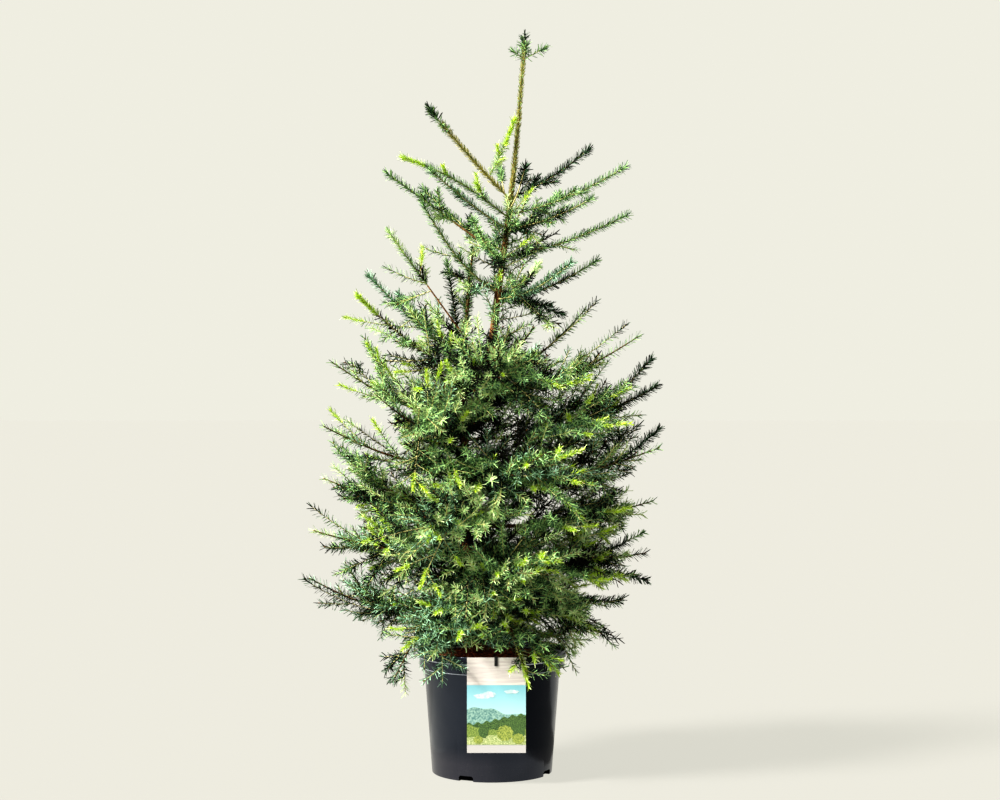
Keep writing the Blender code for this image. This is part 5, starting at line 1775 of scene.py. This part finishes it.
def make_pot(colours):
    """The pot, with its rolled rim and bands and its notched foot."""
    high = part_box("pot")[1]
    lip, rim = high.x, high.z
    shoulder_z, lip_z = POT_EDGES
    corners = (
        (0.0, 0.0),
        (POT_FOOT, 0.0),
        (POT_SHOULDER, shoulder_z),
        (POT_BAND, shoulder_z),
        (POT_BAND, lip_z),
        (lip, lip_z),
        (lip, rim),
        (lip - POT_WALL, rim),
        (lip - POT_WALL, lip_z + POT_WALL),
        (POT_BAND - POT_WALL, lip_z + POT_WALL),
        (POT_BAND - POT_WALL, shoulder_z + POT_WALL),
        (POT_SHOULDER - POT_WALL, shoulder_z + POT_WALL),
        (POT_FOOT - POT_WALL, POT_FLOOR),
        (0.0, POT_FLOOR),
    )
    pot = turned("pot_shell", rounded(corners, POT_ROUNDING), POT_SIDES, pot_material(colours))
    # The notches' cut faces are dull and darker than the glossy wall: painted shade, so that the notches read
    # as dark holes
    inside, _, _ = new_material("unpolished_polypropylene", linear("#050506"), 0.9, Specular_IOR_Level=0.1)
    outline = [*NOTCH_OUTLINE, *[(-x, z) for x, z in reversed(NOTCH_OUTLINE)]]
    cutters = []
    for k in range(NOTCHES):
        out = level_way(NOTCH_HEADING + math.tau / NOTCHES * k)
        side = Vector((-out.y, out.x, 0.0))
        points = []
        for depth in (POT_FOOT + NOTCH_IN, POT_FOOT + NOTCH_OUT):
            points += [side * x + out * depth + UP * z for x, z in outline]
        faces = [tuple(range(6)), tuple(range(6, 12))] + loops(1, 6)
        cutters.append(new_mesh_object("notch", points, faces, inside, smooth=False))
    cut(pot, cutters)
    pot.data.shade_smooth()
    pot.data.set_sharp_from_angle(angle=math.radians(35))
    join_piece(pot, "pot_plastic", "pot")


def chip_shape():
    """One chip of bark of unit size: a flat block with broken corners."""
    work = bmesh.new()
    bmesh.ops.create_cube(work, size=1.0)
    bmesh.ops.bevel(work, geom=list(work.edges), offset=CHIP_BEVEL, segments=1, affect="EDGES")
    rng = random.Random(SEED)
    for vert in work.verts:
        vert.co += Vector((rng.uniform(-1, 1), rng.uniform(-1, 1), rng.uniform(-1, 1))) * CHIP_WARP
    mesh = bpy.data.meshes.new("chip_shape")
    work.to_mesh(mesh)
    work.free()
    obj = bpy.data.objects.new("chip_shape", mesh)
    bpy.context.scene.collection.objects.link(obj)
    return obj


def make_compost(colours, sizes):
    """The compost with its chips of bark."""
    material = compost_material(colours)
    low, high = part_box("soil")
    profile = ((0.0, low.z + 0.012), (0.104, low.z + 0.012), (0.124, 0.196), (high.x, 0.206))
    profile += ((high.x, 0.2115), SHOULDERS[1], SHOULDERS[0], (0.0, high.z))
    body = turned("compost_body", profile, 64, material)
    join_piece(body, "compost", "soil")
    radius = high.x - 0.008
    points, faces = [(0.0, 0.0, high.z - CHIP_SINK)], []
    for out, height in (*SHOULDERS, (radius, 0.2125)):
        height -= CHIP_SINK
        points += [(out * math.cos(angle), out * math.sin(angle), height) for angle in turns(CHIP_SIDES)]
    for k in range(CHIP_SIDES):
        after = (k + 1) % CHIP_SIDES
        faces.append((0, 1 + k, 1 + after))
        for first in (1, 1 + CHIP_SIDES):
            second = first + CHIP_SIDES
            faces.append((first + k, second + k, second + after, first + after))
    chips = new_mesh_object("compost_chips", points, faces)
    chip = chip_shape()
    values = {
        "Density": sizes.chip_count / (math.pi * radius ** 2),
        "Size": sizes.chip_size,
        "Seed": SEED,
        "Chip": chip,
        "Material": material,
    }
    grown(chips, chip_tree(), values)
    bpy.data.objects.remove(chip, do_unlink=True)
    join_piece(chips, "compost")


def flat_shape(name, outline, front, thick, material):
    """A thin printed shape that stands on a plane of constant y and faces -Y."""
    count = len(outline)
    points = [(x, front, z) for x, z in outline] + [(x, front - thick, z) for x, z in outline]
    faces = [tuple(range(count))[::-1], tuple(range(count, 2 * count))] + loops(1, count)
    obj = new_mesh_object(name, points, faces, material, smooth=False)
    turn_outwards(obj)
    return obj


def print_shape(name, outline, front, material):
    """A shape of ink on the card, as a piece of its own."""
    return join_piece(flat_shape(name, outline, front, INK, material), "label_card")


def rectangle(left, right, foot, top):
    """The outline of a rectangle."""
    return [(left, foot), (right, foot), (right, top), (left, top)]


def blob(x, z, wide, tall, bumps, depth):
    """A rounded outline with leafy bumps."""
    outline = []
    for angle in turns(48):
        swell = 1.0 + depth * math.sin(bumps * angle) + 0.5 * depth * math.sin((bumps * 2 + 1) * angle + 1.0)
        outline.append((x + wide * swell * math.cos(angle), z + tall * swell * math.sin(angle)))
    return outline


def ridge(left, right, foot, heights):
    """An outline with a level foot and a rolling top."""
    top = [(left + (right - left) * share, heights(share)) for share in spread(0.0, 1.0, 70)]
    return [(right, foot), (left, foot)] + top


def dress_node(name, material):
    """Let a solid of the frame that stays in view take a material."""
    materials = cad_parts[name].data.materials
    materials.clear()
    materials.append(material)


# The printed landscape: clouds and shrubs by place, half width and half height, and rolling hills by their
# level and swing as shares of the picture's height, their waves and where they start, and their finer waves
CLOUDS = ((-0.016, 0.163, 0.016, 0.0045), (-0.005, 0.1660, 0.012, 0.0055), (0.036, 0.171, 0.013, 0.0034))
ROLLS = table("""
far_hills 0.56 0.060 5.2 0.4 0.016 17
woods 0.43 0.080 3.1 4.6 0.020 43
hills 0.30 0.060 3.6 2.6 0.012 31
meadow 0.15 0.030 4.0 5.0 0.004 23
""")
SHRUBS = table("""
0.0460 0.1040 0.0150 0.0210 woods
0.0240 0.0960 0.0150 0.0140 shrubs
-0.0150 0.0990 0.0090 0.0120 woods
0.0480 0.0860 0.0110 0.0095 shrubs
-0.0245 0.0840 0.0085 0.0070 shrubs
""")


def make_label(colours):
    """The card, its bare header, and a plain printed landscape."""
    dress_node("label", card_material(colours))
    # Moulded nylon: near black, with a soft, even gloss
    dress_node("label_hook", new_material("moulded_nylon", linear("#121214"), 0.38)[0])
    low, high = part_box("label")
    left, right, front = low.x, high.x, low.y
    strip_top = low.z + STRIP_HEIGHT
    header_foot = high.z - HEADER_HEIGHT
    wood = print_material("printed_wood_grain", "#CBC3C0", "#DCD7D2", 5.0, (0.12, 1.0, 1.6))
    header = flat_shape("label_header", rectangle(left, right, header_foot, high.z), front, INK, wood)
    x, z = HOLE_PLACE
    hole = [(x + HOLE_RADIUS * math.cos(turn), z + HOLE_RADIUS * math.sin(turn)) for turn in turns(16)]
    cut(header, [flat_shape("hole", hole, front + 0.001, 0.003, None)])
    join_piece(header, "label_card")
    picture = rectangle(left, right, strip_top, header_foot)
    print_shape("label_sky", picture, front, sky_material(strip_top, header_foot))
    layer = front - INK
    cloud_ink = print_material("printed_cloud", "#B5CDD0", "#DDE4E2", 6.0)
    for k, cloud in enumerate(CLOUDS):
        print_shape(f"label_cloud_{k}", blob(*cloud, 5, 0.07), layer - INK * k, cloud_ink)
    inks = {
        "far_hills": print_material("printed_far_hills", "#5B8482", "#9DBDB0", 3.0),
        "woods": print_material("printed_woods", "#1D3A26", "#6C8A4E", 1.6),
        "hills": print_material("printed_hills", "#47662F", "#A0B061", 1.8),
        "meadow": print_material("printed_meadow", "#7F955A", "#CBD09C", 1.5, (0.5, 1.0, 1.0)),
        "shrubs": print_material("printed_shrubs", "#3E5F2B", "#BDC46A", 1.2),
    }
    foot = strip_top + 0.0004
    sky_z = header_foot - strip_top
    for k, (name, level, swing, waves, start, fine, fine_waves) in enumerate(ROLLS):
        def top(share):
            wave = swing * math.sin(waves * share + start) + fine * math.sin(fine_waves * share)
            return foot + sky_z * (level + wave)

        print_shape("label_" + name, ridge(left, right, foot, top), layer - INK * k, inks[name])
    layer -= INK * len(ROLLS)
    for k, (*shrub, ink) in enumerate(SHRUBS):
        print_shape(f"label_shrub_{k}", blob(*shrub, 9, 0.05), layer - INK * k, inks[ink])


def sheet(name, left, right, front, back, height, material):
    """A level rectangle."""
    corners = [(x, y, height) for x, y in rectangle(left, right, front, back)]
    return new_mesh_object(name, corners, [(0, 1, 2, 3)], material, smooth=False)


# The stage: half the floor's side and its level, the cards that only gloss sees, and the key light's way,
# softness and tint
FLOOR_HALF = 60.0
FLOOR_LEVEL = -0.0006
CARD_FRONT, CARD_BACK, CARD_LEVEL = -1.2, 0.25, 0.001
BRIGHT_CARD = (-1.6, -0.2)
DARK_CARD = (0.16, 1.8)
BLACK = (0.0, 0.0, 0.0)
KEY_WAY = Vector((0.80, 0.38, -0.80))
KEY_SOFTNESS = math.radians(14)
KEY_TINT = (1.0, 0.97, 0.92)


def make_stage(colours, stage):
    """Pale floor, soft light from the left and front, and the camera at the photograph's angle."""
    scene = bpy.context.scene
    half = FLOOR_HALF
    paper = glowing_material("studio_paper", linear("#454443"), 0.9, colours.backdrop, 0.82)
    floor = sheet("floor", -half, half, -half, half, FLOOR_LEVEL, paper)
    bright = glowing_material("bright_reflector", BLACK, 1.0, colours.backdrop, stage.reflector)
    dark = glowing_material("dark_reflector", BLACK, 1.0, colours.backdrop, 0.25)
    for name, sides, material in (("bright_card", BRIGHT_CARD, bright), ("dark_card", DARK_CARD, dark)):
        card = sheet(name, *sides, CARD_FRONT, CARD_BACK, CARD_LEVEL, material)
        card.visible_camera = False
        card.visible_diffuse = False
        card.visible_shadow = False
        card.visible_transmission = False
    world = bpy.data.worlds.new("studio_light")
    world.use_nodes = True
    tree = world.node_tree
    sky = tree.nodes["Background"]
    sky.inputs["Color"].default_value = (*colours.backdrop, 1.0)
    add = partial(add_node, tree)
    ray = add("ShaderNodeTexCoord").outputs["Generated"]
    way = add("ShaderNodeSeparateXYZ", {0: ray}).outputs
    rise = {"Value": way["Z"], "From Min": 0.22, "From Max": 0.55}
    values = {**rise, "To Min": stage.ambient, "To Max": stage.overhead}
    light = add("ShaderNodeMapRange", values).outputs["Result"]
    for near, far, strength in ((-0.35, -0.85, stage.left_side), (0.35, 0.85, stage.right_side)):
        values = {"Value": way["X"], "From Min": near, "From Max": far, "To Min": 1.0, "To Max": strength}
        share = add("ShaderNodeMapRange", values).outputs["Result"]
        light = add("ShaderNodeMath", {0: light, 1: share}, operation="MULTIPLY").outputs[0]
    tree.links.new(light, sky.inputs["Strength"])
    scene.world = world
    sun = bpy.data.lights.new("key_light", "SUN")
    sun.energy = stage.key
    sun.angle = KEY_SOFTNESS
    sun.color = KEY_TINT
    key = bpy.data.objects.new("key_light", sun)
    key.rotation_euler = KEY_WAY.to_track_quat("-Z", "Y").to_euler()
    scene.collection.objects.link(key)
    lens = bpy.data.cameras.new("camera")
    lens.lens = stage.lens
    lens.sensor_width = 36.0
    camera = bpy.data.objects.new("camera", lens)
    camera.location = (stage.camera_side, -stage.camera_distance, stage.camera_height)
    camera.rotation_euler = (math.radians(90), 0.0, 0.0)
    scene.collection.objects.link(camera)
    scene.camera = camera
    scene.view_settings.view_transform = "Standard"
    scene.view_settings.look = "High Contrast"


# Operators and panel


class SPRUCE_OT_stems(bpy.types.Operator):
    """Make the trunk, the second stem and the limbs, with their bark"""

    bl_idname = "spruce.stems"
    bl_label = "Stems and limbs"

    def execute(self, context):
        make_stems(context.scene.spruce_colours, context.scene.spruce_sizes)
        return {"FINISHED"}


class SPRUCE_OT_foliage(bpy.types.Operator):
    """Grow the twigs, needles and buds"""

    bl_idname = "spruce.foliage"
    bl_label = "Twigs and needles"

    def execute(self, context):
        make_foliage(context.scene.spruce_colours, context.scene.spruce_sizes)
        return {"FINISHED"}


class SPRUCE_OT_pot(bpy.types.Operator):
    """Make the nursery pot"""

    bl_idname = "spruce.pot"
    bl_label = "Pot"

    def execute(self, context):
        make_pot(context.scene.spruce_colours)
        return {"FINISHED"}


class SPRUCE_OT_compost(bpy.types.Operator):
    """Finish the compost and strew its chips"""

    bl_idname = "spruce.compost"
    bl_label = "Compost"

    def execute(self, context):
        make_compost(context.scene.spruce_colours, context.scene.spruce_sizes)
        return {"FINISHED"}


class SPRUCE_OT_label(bpy.types.Operator):
    """Print the card label and finish its hook"""

    bl_idname = "spruce.label"
    bl_label = "Label"

    def execute(self, context):
        make_label(context.scene.spruce_colours)
        return {"FINISHED"}


class SPRUCE_OT_stage(bpy.types.Operator):
    """Set the floor, the lights and the camera"""

    bl_idname = "spruce.stage"
    bl_label = "Stage"

    def execute(self, context):
        make_stage(context.scene.spruce_colours, context.scene.spruce_stage)
        return {"FINISHED"}


OPERATORS = (
    SPRUCE_OT_stage,
    SPRUCE_OT_pot,
    SPRUCE_OT_compost,
    SPRUCE_OT_label,
    SPRUCE_OT_stems,
    SPRUCE_OT_foliage,
)


class SPRUCE_PT_panel(bpy.types.Panel):
    """The steps and settings of the spruce"""

    bl_idname = "SPRUCE_PT_panel"
    bl_label = "Potted spruce"
    bl_space_type = "VIEW_3D"
    bl_region_type = "UI"
    bl_category = "Spruce"

    def draw(self, context):
        layout = self.layout
        for operator in OPERATORS:
            layout.operator(operator.bl_idname)
        for group in (context.scene.spruce_sizes, context.scene.spruce_colours, context.scene.spruce_stage):
            for name in group.bl_rna.properties.keys():
                if name not in ("rna_type", "name"):
                    layout.prop(group, name)


CLASSES = (SpruceColours, SpruceSizes, SpruceStage, *OPERATORS, SPRUCE_PT_panel)


def register():
    """Register the classes and their settings."""
    for kind in CLASSES:
        bpy.utils.register_class(kind)
    bpy.types.Scene.spruce_colours = PointerProperty(type=SpruceColours)
    bpy.types.Scene.spruce_sizes = PointerProperty(type=SpruceSizes)
    bpy.types.Scene.spruce_stage = PointerProperty(type=SpruceStage)


def unregister():
    """Take the settings and the classes away again."""
    del bpy.types.Scene.spruce_stage
    del bpy.types.Scene.spruce_sizes
    del bpy.types.Scene.spruce_colours
    for kind in reversed(CLASSES):
        bpy.utils.unregister_class(kind)


def main():
    """Make every piece."""
    register()
    bpy.ops.spruce.stage()
    bpy.ops.spruce.pot()
    bpy.ops.spruce.compost()
    bpy.ops.spruce.label()
    bpy.ops.spruce.stems()
    bpy.ops.spruce.foliage()


if __name__ == "__main__":
    main()
